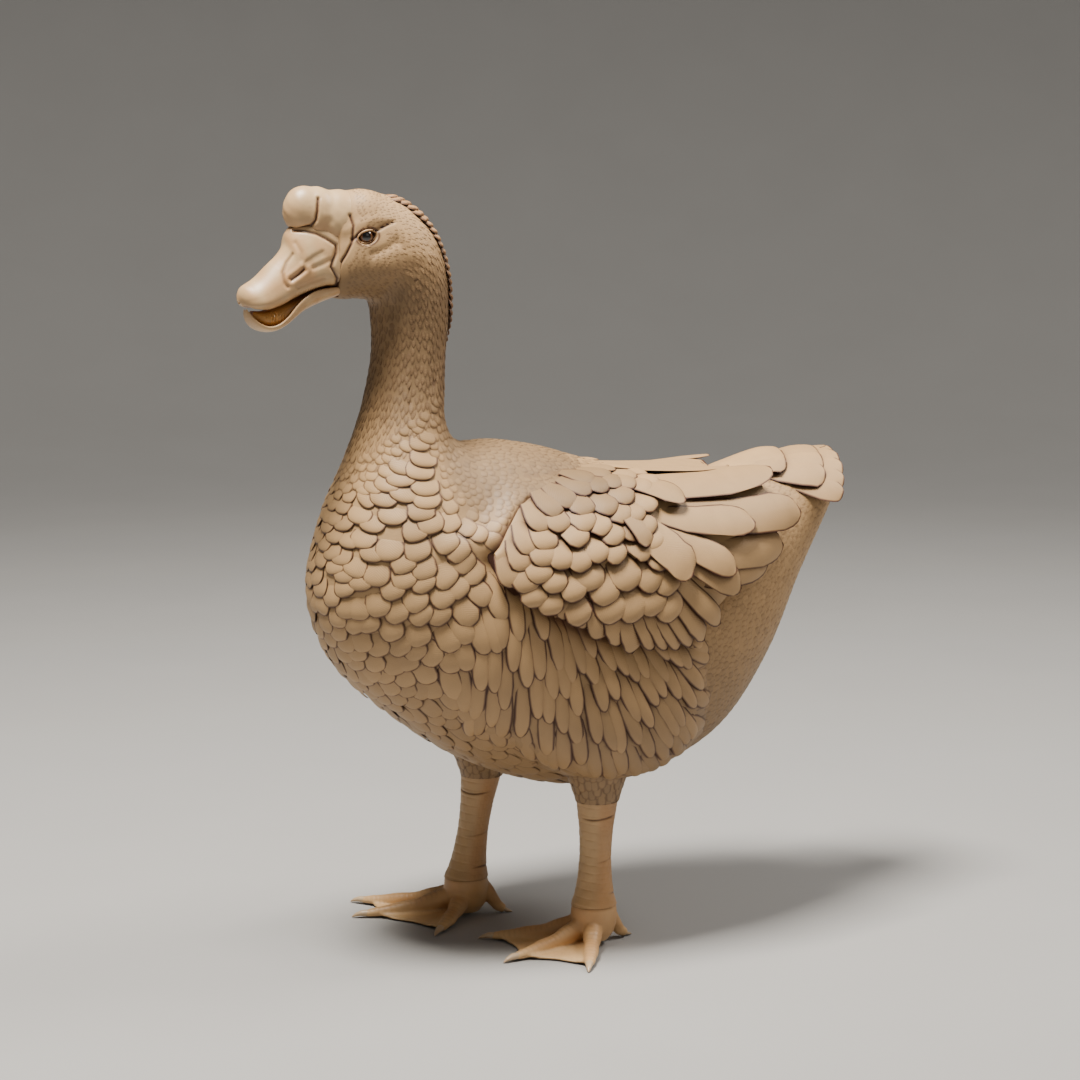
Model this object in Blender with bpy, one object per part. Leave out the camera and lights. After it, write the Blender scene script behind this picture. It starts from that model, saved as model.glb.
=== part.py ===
"""A standing Chinese goose, life size, as a still museum model.

The bird faces -Y, its left side is +X and the floor is z = 0. Tables are in millimetres for a bird
650 mm tall from the floor to the top of its knob. The body is one loft from the rump through the
breast and up the neck to the forehead. It is parted by thin cuts at the base of the neck, half way
up the neck and at the throat. Wings, tail, thighs, legs, bill, knob and eyes are set on that loft.
"""

import math
import random

import bmesh
import bpy
from mathutils import Matrix, Vector

MM = 0.001
GAP = 0.3  # clearance between touching nodes
FLOOR = 0.0
SLAB_WIDE, SLAB_HIGH = 400, 80  # slabs that trim a foot to its heights

# Body loft, from the tail to the forehead: back y, z; belly y, z; half width; lower fullness; squareness
BODY = (
    (317, 403, 321, 366, 33, 0.00, 2.2),
    (290, 403, 300, 333, 48, 0.00, 2.2),
    (252, 400, 270, 283, 61, 0.06, 2.2),
    (200, 397, 232, 214, 79, 0.10, 2.2),
    (139, 400, 180, 158, 97, 0.13, 2.2),
    (79, 414, 108, 131, 108, 0.15, 2.2),
    (28, 429, 32, 130, 110, 0.12, 2.2),
    (-11, 436, -46, 157, 108, 0.08, 2.2),
    (-34, 436, -108, 199, 99, 0.04, 2.15),
    (-48, 437, -160, 248, 87, 0.02, 2.1),
    (-60, 445, -181, 303, 73, 0.02, 2.1),
    (-65, 462, -172, 362, 58, 0.02, 2.05),
    (-64, 485, -152, 414, 45, 0.00, 2.0),
    (-62, 513, -135, 462, 36, 0.00, 2.0),
    (-59, 542, -126, 506, 32, 0.00, 2.0),
    (-61, 574, -126, 537, 31.5, 0.00, 2.0),
    (-71, 604, -129, 552, 33, 0.00, 2.0),
    (-90, 627, -141, 555, 33.5, 0.05, 2.0),
    (-114, 639, -154, 555, 31.5, 0.10, 2.1),
    (-141, 639, -164, 557, 28, 0.10, 2.2),
    (-166, 620, -171, 563, 20, 0.00, 2.2),
)
TAIL_END = 0.0
RUMP = 1.6
NECK_BASE = 11.0
NECK_MIDDLE = 13.6
THROAT = 15.9
FOREHEAD = len(BODY) - 1.0

# Folded wings lie on this hull, by y: height of its widest level; rise to its top; half width
WING_HULL = (
    (-120, 322, 92, 96),
    (-60, 318, 116, 112),
    (0, 300, 130, 123),
    (60, 295, 130, 126),
    (120, 303, 112, 121),
    (180, 325, 84, 104),
    (240, 354, 56, 78),
    (300, 380, 34, 50),
    (360, 395, 20, 30),
)

# Leaf under the wing feathers, by y: its upper and lower edges in degrees down from the top
WING_LEAF = (
    (-66, 72, 77),
    (-52, 62, 84),
    (-36, 51, 89),
    (-16, 42, 92),
    (8, 32, 95),
    (36, 22, 98),
    (70, 14, 100),
    (110, 12, 102),
    (150, 12, 99),
    (185, 15, 89),
    (215, 20, 70),
)
WING_DEPTH = 15
LEAF_SIDES = 8
LEAF_EDGE = 4.0  # how far the leaf's outer face falls at its edges

# Tiers of wing vanes, each place a y and an angle on the hull, from the lowest tier to the highest:
# count; first and last root; first and last tip; widths; lifts at root and tip; roll; rows
WING_TIERS = (
    (4, ((140, 92), (165, 55)), ((214, 105), (266, 62)), (26, 25), (-3, 0.3), 0.06, 5),
    (7, ((30, 84), (142, 84)), ((46, 101), (174, 106)), (25, 27), (-3, 1.6), 0.08, 4),
    (6, ((-45, 70), (50, 76)), ((-20, 88), (75, 95)), (25, 26), (-3, 3.2), 0.08, 4),
    (4, ((75, 62), (140, 62)), ((108, 93), (204, 84)), (35, 35), (-3, 3.8), 0.06, 5),
    (4, ((125, 52), (135, 16)), ((206, 56), (236, 14)), (34, 30), (-3, 3.8), 0.06, 5),
)
TIP_VARIES = (2.0, 0.8)

# Tiers of tail vanes: count; half spread; start and reach from the fan's centre; width; roll; lifts
TAIL_TIERS = (
    (10, 31, 48, 113, 23, 0.1, (-6, 0.4)),
    (5, 26, 14, 66, 28, 0.06, (-6, 3.6)),
)
TAIL_ROOT = 208
TAIL_TOP = 400
TAIL_RISE = 0.06
TAIL_DROOP = 0.011

VANE_THICK = 0.8
VANE_BEND = 100
VANE_NOTCH = 0.5
VANE_SHARES = {
    5: ((0.0, 0.5), (0.3, 0.88), (0.68, 1.0), (0.9, 0.86), (1.0, 0.42)),
    4: ((0.0, 0.55), (0.5, 1.0), (0.85, 0.9), (1.0, 0.45)),
}
DRAW = random.Random(7)

# Legs: how far each stands from the middle, and the heights where the sleeve and the shank end
LEG_X = 65
CUFF = 126
ANKLE = 36
# Each leg: side; how far its thigh lies forward; y of the shank's top and of its ankle
STEPS = {"left": (1, 0, 51, 48), "right": (-1, 45, 6, -10)}
THIGH_PLACE = (73, 52, 212)
THIGH_RADII = (43, 88, 66)
THIGH_TURN = -14
SLEEVE_Y = 51
SLEEVE = ((205, 40, 46), (168, 31, 37), (143, 23, 26), (CUFF, 19, 20))  # height; half width; half depth
# Shank by share of its length: half width and half depth
SHANK = (
    (0.0, 17.5, 18),
    (0.14, 16, 16.5),
    (0.3, 14, 14.5),
    (0.55, 13, 14),
    (0.8, 14, 15),
    (0.93, 15.5, 16.5),
    (1.0, 17, 18),
)
# Front toes from the inner to the outer: heading in degrees, outwards from straight ahead, and length
TOES = {
    "left": ((-34, 88), (9, 84), (58, 72)),
    "right": ((42, 62), (-21, 90), (-47, 100)),
}
TOE_RISE = 22  # height of a toe's middle line at the ankle
TOE_HALF = 11
# Toe by share of its length: share of its rise and of its half width
TOE = (
    (0.0, 1.0, 1.0),
    (0.22, 0.72, 0.85),
    (0.45, 0.45, 0.72),
    (0.7, 0.31, 0.68),
    (0.9, 0.24, 0.56),
    (1.0, 0.24, 0.38),
)
HEEL = (19, (17.5, 18.5, 22))  # height and radii of the ball at the ankle
WEB_UNDER, WEB_TOP, WEB_ANKLE = 0.6, 3.4, 24  # heights of the web's faces and of its top at the ankle
WEB_SHORT = 9  # how far the web ends behind each toe's tip
WEB_DIP = 0.95
# Hind toe down to its pad on the floor: distance behind the ankle; height; half width; half height
HIND_TOE = (
    (8, 30, 6, 8),
    (18, 21, 6, 7),
    (25, 11, 5.4, 5.6),
    (29.5, 4.6, 4.8, 5),
    (34, 2.9, 4.2, 4),
)
HIND_SIZE = 0.75
# Claw by share of its length: half width and how far it falls
CLAW = ((0.0, 3.2, 0), (0.3, 3.0, 0), (0.68, 2.0, 1.2), (1.0, 0.5, 3.2))
CLAW_LENGTH = 12
CLAW_FLAT = 0.8

# Upper bill by stations: upper edge y, z; lower edge y, z; half width
UPPER_BILL = (
    (-148, 634, -142, 566, 17),
    (-170, 631, -158, 565, 20),
    (-190, 622, -172, 566, 21.5),
    (-201.5, 611, -183, 564, 20.5),
    (-204.5, 600, -193, 561, 19),
    (-210, 592.5, -202, 557, 17.8),
    (-219, 584.5, -211, 552.5, 17.2),
    (-228.5, 575.5, -221, 549.5, 17.2),
    (-235.5, 570, -228.5, 549, 16.4),
    (-240.5, 566.5, -234.5, 549.5, 13.6),
    (-243.2, 562, -238.5, 551, 9.3),
    (-244.2, 557, -241.8, 553, 3),
)
BILL_RINGS, BILL_SIDES = 16, 20
BILL_UNDER = 3.2  # squareness of the upper bill's lower half
BILL_NARROW = 0.22  # how much narrower its back is than its rim

# Lower bill, a scoop: y; height of its rim; half width; depth
LOWER_BILL = (
    (-150, 566, 14, 6),
    (-166, 565.5, 18, 9),
    (-182, 563.5, 18.5, 13),
    (-192, 558.5, 18.5, 13),
    (-200, 551.5, 18.3, 12),
    (-207, 543.5, 18, 8.5),
    (-215, 537.3, 17.5, 5.6),
    (-223, 535.4, 16.6, 4.8),
    (-229.5, 537.6, 14.6, 4.6),
    (-234, 541.8, 11.4, 4.6),
    (-238, 548, 4, 3),
)
SCOOP_WALL = 2.2
SCOOP_FLOOR = 2.4
# Tongue: y; z; half width; half height
TONGUE = (
    (-160, 559, 8, 2.5),
    (-182, 556, 11, 4),
    (-200, 548, 11, 4),
    (-214, 541, 11, 3.2),
    (-229, 541, 7, 2),
)

# Raised stripe down the nape: first and last station, height and half width as a turn of the ring
NAPE_RIDGE = (12.6, 18.6, 4.0, 0.32)

EYE = (22.3, -142, 607)
EYE_RADIUS = 6.5
EYELID = (26.6, 7.2, 5.9, 1.5)  # place across the head; half length; half height; thickness
LID_LEAN = 8
NOSTRIL = (18.5, -199, 577)
NOSTRIL_RADII = (3.2, 7.5, 2.4)
NOSTRIL_SLOPE = -35
# Knob of three balls melted into two lobes: centre and radii
KNOB = (
    ((0, -186, 627.6), (16, 17.5, 20.4)),
    ((0, -175.5, 624.2), (19, 19, 23.1)),
    ((0, -157, 618.6), (19.5, 25.5, 25)),
)

# Colours and roughness of the materials
FEATHER = ((0.50, 0.33, 0.17), 0.7)
HORN = ((0.58, 0.40, 0.22), 0.45)
LEG_SKIN = ((0.52, 0.27, 0.11), 0.55)
CLAW_HORN = ((0.48, 0.35, 0.20), 0.4)
EYE_BROWN = ((0.03, 0.015, 0.008), 0.1)
MOUTH = ((0.45, 0.19, 0.06), 0.5)


def spline(table, at):
    """Row of a table at a fractional index, on a smooth curve through the rows."""
    last = len(table) - 1
    i = min(max(int(math.floor(at)), 0), last - 1)
    t = at - i
    rows = [table[min(max(i + k, 0), last)] for k in (-1, 0, 1, 2)]
    row = []
    for a, b, c, d in zip(*rows):
        row.append(b + 0.5 * t * (c - a + t * (2 * a - 5 * b + 4 * c - d + t * (3 * (b - c) + d - a))))
    return row


def spaced(first, last, count):
    """Evenly spaced numbers from first to last, both included."""
    return [first + (last - first) * i / (count - 1) for i in range(count)]


def oval(cosine, sine, squareness):
    """A point of a unit superellipse."""
    power = 2.0 / squareness
    up = math.copysign(abs(cosine) ** power, cosine)
    side = math.copysign(abs(sine) ** power, sine)
    return up, side


def body_ring(at, sides):
    """Ring of the body loft at a station, from the middle of the back down the left side."""
    back_y, back_z, belly_y, belly_z, half, lower, squareness = spline(BODY, at)
    middle = Vector((0, (back_y + belly_y) / 2, (back_z + belly_z) / 2))
    rise = Vector((0, back_y, back_z)) - middle
    first, last, height, width = NAPE_RIDGE
    share = min(max((at - first) / (last - first), 0), 1)
    ridge = height * math.sin(math.pi * share) ** 0.5 / rise.length
    ring = []
    for k in range(sides):
        angle = 2 * math.pi * k / sides
        up, side = oval(math.cos(angle), math.sin(angle), squareness)
        swell = 1 + ridge * math.exp(-(math.remainder(angle, 2 * math.pi) / width) ** 2)
        ring.append(middle + rise * up * swell + Vector((half * side * (1 - lower * up), 0, 0)))
    return ring


def ring_normal(ring):
    """Unit normal of a flat ring."""
    middle = sum(ring, Vector()) / len(ring)
    quarter = len(ring) // 4
    return (ring[0] - middle).cross(ring[quarter] - middle).normalized()


def hull_point(y, angle, lift=0.0):
    """Point on the wing hull at y, angle degrees down from the top to the left, lifted outwards."""
    at = (y - WING_HULL[0][0]) / (WING_HULL[1][0] - WING_HULL[0][0])
    _, level, rise, half = spline(WING_HULL, at)
    turn = math.radians(angle)
    outwards = Vector((math.sin(turn) / half, 0, math.cos(turn) / rise)).normalized()
    return Vector((half * math.sin(turn), y, level + rise * math.cos(turn))) + outwards * lift


def material(name, colour, roughness):
    """A Principled material with one colour and one roughness."""
    made = bpy.data.materials.new(name)
    made.use_nodes = True
    shader = made.node_tree.nodes["Principled BSDF"]
    shader.inputs["Base Color"].default_value = (*colour, 1.0)
    shader.inputs["Roughness"].default_value = roughness
    shader.inputs["Metallic"].default_value = 0.0
    return made


def node(name, shape, finish):
    """Object made from a bmesh in millimetres."""
    bmesh.ops.triangulate(shape, faces=shape.faces)
    bmesh.ops.recalc_face_normals(shape, faces=shape.faces)
    if shape.calc_volume(signed=True) < 0:
        bmesh.ops.reverse_faces(shape, faces=shape.faces)
    mesh = bpy.data.meshes.new(name)
    shape.to_mesh(mesh)
    shape.free()
    mesh.transform(Matrix.Scale(MM, 4))
    mesh.materials.append(finish)
    made = bpy.data.objects.new(name, mesh)
    bpy.context.scene.collection.objects.link(made)
    return made


def loft(rings):
    """Closed bmesh through rings of equal length, with flat ends."""
    shape = bmesh.new()
    rows = [[shape.verts.new(p) for p in ring] for ring in rings]
    for a, b in zip(rows, rows[1:]):
        for k in range(len(a)):
            shape.faces.new((a[k - 1], a[k], b[k], b[k - 1]))
    shape.faces.new(rows[0])
    shape.faces.new(rows[-1][::-1])
    return shape


def column(points, halves, sides):
    """Closed upright limb through points, each section a level oval of (half width, half depth)."""
    turns = [2 * math.pi * k / sides for k in range(sides)]
    rings = []
    for point, (wide, deep) in zip(points, halves):
        rings.append([point + Vector((wide * math.cos(t), deep * math.sin(t), 0)) for t in turns])
    return loft(rings)


def tube(points, halves, sides):
    """Closed tube along points, each section an upright oval of (half width, half height)."""
    rings = []
    for i, point in enumerate(points):
        along = (points[min(i + 1, len(points) - 1)] - points[max(i - 1, 0)]).normalized()
        across = along.cross(Vector((0, 0, 1))).normalized()
        up = across.cross(along).normalized()
        wide, high = halves[i]
        turns = [2 * math.pi * k / sides for k in range(sides)]
        rings.append([point + across * wide * math.cos(t) + up * high * math.sin(t) for t in turns])
    return loft(rings)


def ellipsoid(centre, radii, turn=Matrix.Identity(3), detail=2):
    """Closed ball stretched to three radii and turned."""
    shape = bmesh.new()
    bmesh.ops.create_icosphere(shape, subdivisions=detail, radius=1.0)
    for v in shape.verts:
        v.co = turn @ Vector((v.co.x * radii[0], v.co.y * radii[1], v.co.z * radii[2])) + Vector(centre)
    return shape


def applied(target, modifier):
    """Replaces an object's mesh by the one that its modifier makes."""
    graph = bpy.context.evaluated_depsgraph_get()
    mesh = bpy.data.meshes.new_from_object(target.evaluated_get(graph))
    target.modifiers.remove(modifier)
    old = target.data
    target.data = mesh
    bpy.data.meshes.remove(old)


def keep_largest(target):
    """Keeps an object's largest closed surface and drops any scrap."""
    shape = bmesh.new()
    shape.from_mesh(target.data)
    bmesh.ops.remove_doubles(shape, verts=shape.verts, dist=2e-7)
    left = set(shape.faces)
    groups = []
    while left:
        group = {left.pop()}
        edge = list(group)
        while edge:
            near = {f for e in edge.pop().edges for f in e.link_faces} & left
            left -= near
            group |= near
            edge.extend(near)
        groups.append(group)
    groups.sort(key=lambda group: sum(f.calc_area() for f in group))
    for group in groups[:-1]:
        bmesh.ops.delete(shape, geom=list(group), context="FACES")
    bmesh.ops.delete(shape, geom=[v for v in shape.verts if not v.link_faces], context="VERTS")
    bmesh.ops.triangulate(shape, faces=shape.faces)
    shape.to_mesh(target.data)
    shape.free()


def combine(target, others, operation, solver="EXACT"):
    """One Boolean of an object with a collection of closed objects, which are then removed."""
    pieces = bpy.data.collections.new("pieces")
    bpy.context.scene.collection.children.link(pieces)
    for other in others:
        pieces.objects.link(other)
    modifier = target.modifiers.new("combine", "BOOLEAN")
    modifier.operand_type = "COLLECTION"
    modifier.collection = pieces
    modifier.operation = operation
    modifier.solver = solver
    applied(target, modifier)
    for other in others:
        bpy.data.objects.remove(other)
    bpy.data.collections.remove(pieces)
    keep_largest(target)
    return target


def grown(source, distance=GAP):
    """Copy of an object, swollen outwards by a small distance, for cutting its neighbours."""
    mesh = source.data.copy()
    normals = [v.normal.copy() for v in mesh.vertices]
    for v, normal in zip(mesh.vertices, normals):
        v.co += normal * distance * MM
    copy = bpy.data.objects.new(source.name + "_grown", mesh)
    bpy.context.scene.collection.objects.link(copy)
    return copy


def cut_clear(target, *neighbours, solver="EXACT"):
    """Cuts an object back so that it lies face to face with its neighbours."""
    return combine(target, [grown(n) for n in neighbours], "DIFFERENCE", solver)


def body_length(name, first, last, rings, sides, finish):
    """One length of the body loft, with half the gap taken off at each flat end."""
    made = [body_ring(at, sides) for at in spaced(first, last, rings)]
    for ring, inwards in ((made[0], 1), (made[-1], -1)):
        towards = made[1] if inwards == 1 else made[-2]
        step = sum(towards, Vector()) / sides - sum(ring, Vector()) / sides
        normal = ring_normal(ring)
        normal *= math.copysign(GAP / 2, normal.dot(step))
        for point in ring:
            point += normal
    return node(name, loft(made), finish)


def tail_point(x, y, lift=0.0):
    """Point on the roof-shaped hull of the tail feathers."""
    return Vector((x, y, TAIL_TOP + TAIL_RISE * (y - TAIL_ROOT) - TAIL_DROOP * x * x + lift))


def vane(surface, root, tip, width, lifts, roll, rows=5):
    """Closed feather vane from root to tip over a surface, rounded at the tip and bent to its hull.

    Both faces are split into triangles alike. Lifts are the heights over the hull at root and tip.
    """
    shares = VANE_SHARES[rows]
    line = []
    for t, _ in shares:
        place = [a + (b - a) * t for a, b in zip(root, tip)]
        line.append(surface(*place, lifts[0] + (lifts[1] - lifts[0]) * t ** 0.7))
    shape = bmesh.new()
    upper, under = [], []
    for i, (point, (_, wide)) in enumerate(zip(line, shares)):
        along = (line[min(i + 1, rows - 1)] - line[max(i - 1, 0)]).normalized()
        place = [a + (b - a) * shares[i][0] for a, b in zip(root, tip)]
        normal = (surface(*place, 10.0) - surface(*place, 0.0)).normalized()
        across = along.cross(normal).normalized()
        half = width * wide / 2
        row = []
        for u in (-1, 0, 1):
            back = along * (VANE_NOTCH * half * abs(u) if i == rows - 1 else 0.0)
            sag = normal * ((half * u) ** 2 / (2 * VANE_BEND) - roll * half * u)
            row.append(point + across * half * u - sag - back)
        upper.append([shape.verts.new(v) for v in row])
        under.append([shape.verts.new(v - normal * VANE_THICK) for v in row])
    for grid, flip in ((upper, False), (under, True)):
        for a, b in zip(grid, grid[1:]):
            for k in (0, 1):
                for corners in ((a[k], a[k + 1], b[k + 1]), (a[k], b[k + 1], b[k])):
                    shape.faces.new(corners[::-1] if flip else corners)
    rim = [(r, 0) for r in range(rows)] + [(rows - 1, 1)]
    rim += [(r, 2) for r in reversed(range(rows))] + [(0, 1)]
    for (r, k), (s, m) in zip(rim, rim[1:] + rim[:1]):
        shape.faces.new((upper[r][k], upper[s][m], under[s][m], under[r][k]))
    return shape


def tier(surface, count, roots, tips, widths, lifts, roll, feather, rows=5):
    """Row of vanes whose roots and tips run evenly between two named places."""
    made = []
    for share in spaced(0, 1, count):
        root = [a + (b - a) * share for a, b in zip(*roots)]
        tip = [a + (b - a) * share + DRAW.uniform(-1, 1) * j for a, b, j in zip(*tips, TIP_VARIES)]
        width = (widths[0] + (widths[1] - widths[0]) * share) * DRAW.uniform(0.96, 1.04)
        made.append(node("vane", vane(surface, root, tip, width, lifts, roll, rows), feather))
    return made


def left_wing(feather):
    """Folded left wing: a smooth leaf under tiers of flight feathers and great coverts."""
    rings = []
    for y, top, bottom in WING_LEAF:
        angles = spaced(top, bottom, LEAF_SIDES)
        middle = (top + bottom) / 2
        ring = [hull_point(y, a, -LEAF_EDGE * abs((a - middle) / (top - middle)) ** 3) for a in angles]
        ring += [hull_point(y, a, -WING_DEPTH) for a in reversed(angles)]
        rings.append(ring)
    leaf = node("wing_left", loft(rings), feather)
    vanes = []
    for count, roots, tips, widths, lifts, roll, rows in WING_TIERS:
        vanes += tier(hull_point, count, roots, tips, widths, lifts, roll, feather, rows)
    return combine(leaf, vanes, "UNION", "MANIFOLD")


def mirrored(source, name):
    """Mirror image of an object across the middle plane."""
    mesh = source.data.copy()
    mesh.transform(Matrix.Scale(-1, 4, Vector((1, 0, 0))))
    mesh.flip_normals()
    copy = bpy.data.objects.new(name, mesh)
    bpy.context.scene.collection.objects.link(copy)
    return copy


def tail(feather):
    """Tail root with its fan of tail feathers and the coverts over their roots."""
    rings = [body_ring(at, 20) for at in spaced(TAIL_END, RUMP, 6)]
    normal = ring_normal(rings[-1])
    for point in rings[-1]:
        point += normal * math.copysign(GAP / 2, normal.y)
    root = node("tail", loft(rings), feather)
    vanes = []
    for count, spread, start, reach, width, roll, lifts in TAIL_TIERS:
        for turn in spaced(-spread, spread, count):
            angle = math.radians(turn)
            way = (math.sin(angle), math.cos(angle))
            first = (way[0] * start, TAIL_ROOT + way[1] * start)
            last = (way[0] * reach, TAIL_ROOT + way[1] * reach + DRAW.uniform(-1, 1))
            raised = [lift + 1.2 * (1 - abs(turn) / spread) for lift in lifts]
            tilt = math.copysign(roll, turn) if turn else 0.0
            vanes.append(node("vane", vane(tail_point, first, last, width, raised, tilt), feather))
    return combine(root, vanes, "UNION", "MANIFOLD")


def thigh(name, side, forward, feather):
    """Feathered thigh: a bulge on the flank and the sleeve below it, down to a level cuff."""
    turn = Matrix.Rotation(math.radians(THIGH_TURN), 3, "X")
    x, y, z = THIGH_PLACE
    bulge = node(name, ellipsoid((side * x, y - forward, z), THIGH_RADII, turn, 3), feather)
    path = [Vector((side * LEG_X, SLEEVE_Y - forward, height)) for height, _, _ in SLEEVE]
    sleeve = column(path, [(wide, deep) for _, wide, deep in SLEEVE], 16)
    return combine(bulge, [node(name + "_sleeve", sleeve, feather)], "UNION")


def eyelid(side, feather):
    """Raised rim of the lids, an oval ring round the eye that leans with the cheek."""
    place, long, high, thick = EYELID
    around = 14
    ring = bmesh.new()
    rows = []
    for k in range(around):
        turn = 2 * math.pi * k / around
        out = Vector((0, math.cos(turn), math.sin(turn)))
        middle = Vector((0, long * out.y, high * out.z))
        row = []
        for j in range(5):
            roll = 2 * math.pi * j / 5
            local = middle + out * thick * math.cos(roll) + Vector((thick * math.sin(roll), 0, 0))
            local = Matrix.Rotation(math.radians(LID_LEAN), 3, "Z") @ local
            at = Vector((place, EYE[1], EYE[2])) + local
            row.append(ring.verts.new((side * at.x, at.y, at.z)))
        rows.append(row)
    for k in range(around):
        for j in range(5):
            ring.faces.new((rows[k - 1][j - 1], rows[k][j - 1], rows[k][j], rows[k - 1][j]))
    return node("eyelid", ring, feather)


def shank(name, side, top_y, ankle_y, skin):
    """Bare shank from the thigh's cuff down to the ankle."""
    top = CUFF - GAP
    path = []
    for share, _, _ in SHANK:
        path.append(Vector((side * LEG_X, top_y + (ankle_y - top_y) * share, top + (ANKLE - top) * share)))
    return node(name, column(path, [(wide, deep) for _, wide, deep in SHANK], 14), skin)


def toe(origin, way, length):
    """Path and sections of one toe, from the ankle down to the floor and along it."""
    path, halves = [], []
    for share, rise, wide in TOE:
        high = TOE_RISE * rise
        path.append(origin + way * length * share + Vector((0, 0, high)))
        halves.append((TOE_HALF * wide, min(TOE_HALF * wide, high + 1.5)))
    return path, halves


def foot(name, side, ankle_y, toes, skin, claw):
    """Webbed foot: three front toes, the web between them, a hind toe and four claws."""
    origin = Vector((side * LEG_X, ankle_y, 0))
    high, radii = HEEL
    root = node(name, ellipsoid((origin.x, origin.y, high), radii), skin)
    pieces, ends, tips = [], [], []
    for heading, length in toes:
        turn = math.radians(heading)
        way = Vector((math.sin(turn), -math.cos(turn), 0))
        path, halves = toe(origin, way, length)
        pieces.append(node("toe", tube(path, halves, 10), skin))
        tips.append(path[-1] - way * WEB_SHORT)
        ends.append((path[-1], way, 1.0))
    web = bmesh.new()
    outline = [origin + Vector((0, 4, 0))]
    for a, b in ((0, 1), (1, 2)):
        dip = (tips[a] + tips[b]) / 2
        outline += [tips[a], origin + (dip - origin) * WEB_DIP]
    outline += [tips[2]]
    low = [web.verts.new((p.x, p.y, WEB_UNDER)) for p in outline]
    high = [web.verts.new((p.x, p.y, WEB_TOP if i else WEB_ANKLE)) for i, p in enumerate(outline)]
    web.faces.new(low)
    for k in range(1, len(outline) - 1):
        web.faces.new((high[0], high[k], high[k + 1]))
    for k in range(len(outline)):
        web.faces.new((low[k - 1], low[k], high[k], high[k - 1]))
    pieces.append(node("web", web, skin))
    back = -ends[1][1]
    hind = [origin + back * away + Vector((0, 0, height)) for away, height, _, _ in HIND_TOE]
    pieces.append(node("hind", tube(hind, [(wide, deep) for _, _, wide, deep in HIND_TOE], 8), skin))
    ends.append((hind[-1], (hind[-1] - hind[-2]).normalized(), HIND_SIZE))
    combine(root, pieces, "UNION")
    trims = [slab(origin, FLOOR - SLAB_HIGH, FLOOR, skin), slab(origin, ANKLE - GAP, SLAB_HIGH, skin)]
    combine(root, trims, "DIFFERENCE")
    for label, (end, way, size) in zip(("inner", "middle", "outer", "hind"), ends):
        path, halves = [], []
        for share, wide, drop in CLAW:
            point = end + way * (GAP + CLAW_LENGTH * size * share)
            half = size * wide
            point.z = max(point.z - drop, half * CLAW_FLAT)
            path.append(point)
            halves.append((half, half * CLAW_FLAT))
        node(f"claw_{name[5:]}_{label}", tube(path, halves, 8), claw)


def slab(origin, low, high, finish):
    """Level slab about a point, for trimming to a height."""
    shape = bmesh.new()
    bmesh.ops.create_cube(shape, size=1.0)
    middle = Vector((origin.x, origin.y, (low + high) / 2))
    for v in shape.verts:
        v.co = middle + Vector((v.co.x * SLAB_WIDE, v.co.y * SLAB_WIDE, v.co.z * (high - low)))
    return node("slab", shape, finish)


def bill(horn, mouth, head):
    """Upper bill with nostrils, lower bill as a scoop, and the tongue in it."""
    rings = []
    for at in spaced(0, len(UPPER_BILL) - 1, BILL_RINGS):
        top_y, top_z, low_y, low_z, half = spline(UPPER_BILL, at)
        middle = Vector((0, (top_y + low_y) / 2, (top_z + low_z) / 2))
        rise = Vector((0, top_y, top_z)) - middle
        ring = []
        for k in range(BILL_SIDES):
            angle = 2 * math.pi * k / BILL_SIDES
            squareness = 2.0 if math.cos(angle) > 0 else BILL_UNDER
            up, across = oval(math.cos(angle), math.sin(angle), squareness)
            ring.append(middle + rise * up + Vector((half * across * (1 - BILL_NARROW * up), 0, 0)))
        rings.append(ring)
    upper = node("bill_upper", loft(rings), horn)
    slope = Matrix.Rotation(math.radians(NOSTRIL_SLOPE), 3, "X")
    places = [(side * NOSTRIL[0], NOSTRIL[1], NOSTRIL[2]) for side in (1, -1)]
    slots = [node("nostril", ellipsoid(place, NOSTRIL_RADII, slope), horn) for place in places]
    combine(upper, slots, "DIFFERENCE")
    cut_clear(upper, head)
    arc = spaced(0, math.pi, 9)
    trough = []
    for y, rim, half, depth in LOWER_BILL:
        thin, shallow = half - SCOOP_WALL, max(depth - SCOOP_FLOOR, 0.6)
        outer = [Vector((-half * math.cos(t), y, rim - depth * math.sin(t) ** 0.8)) for t in arc]
        inner = [Vector((-thin * math.cos(t), y, rim - shallow * math.sin(t))) for t in arc]
        trough.append(outer + inner[::-1])
    lower = node("bill_lower", loft(trough), horn)
    cut_clear(lower, upper, head)
    path = [Vector((0, y, z)) for y, z, _, _ in TONGUE]
    tongue = node("tongue", tube(path, [(wide, deep) for _, _, wide, deep in TONGUE], 12), mouth)
    cut_clear(tongue, upper, lower, head)
    return upper


def centre_on_floor():
    """Moves every mesh so that the origin is under the middle of the bounds."""
    meshes = [o.data for o in bpy.context.scene.objects]
    for axis in (0, 1):
        places = [v.co[axis] for mesh in meshes for v in mesh.vertices]
        step = Vector((0, 0, 0))
        step[axis] = -(min(places) + max(places)) / 2
        for mesh in meshes:
            mesh.transform(Matrix.Translation(step))


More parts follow.
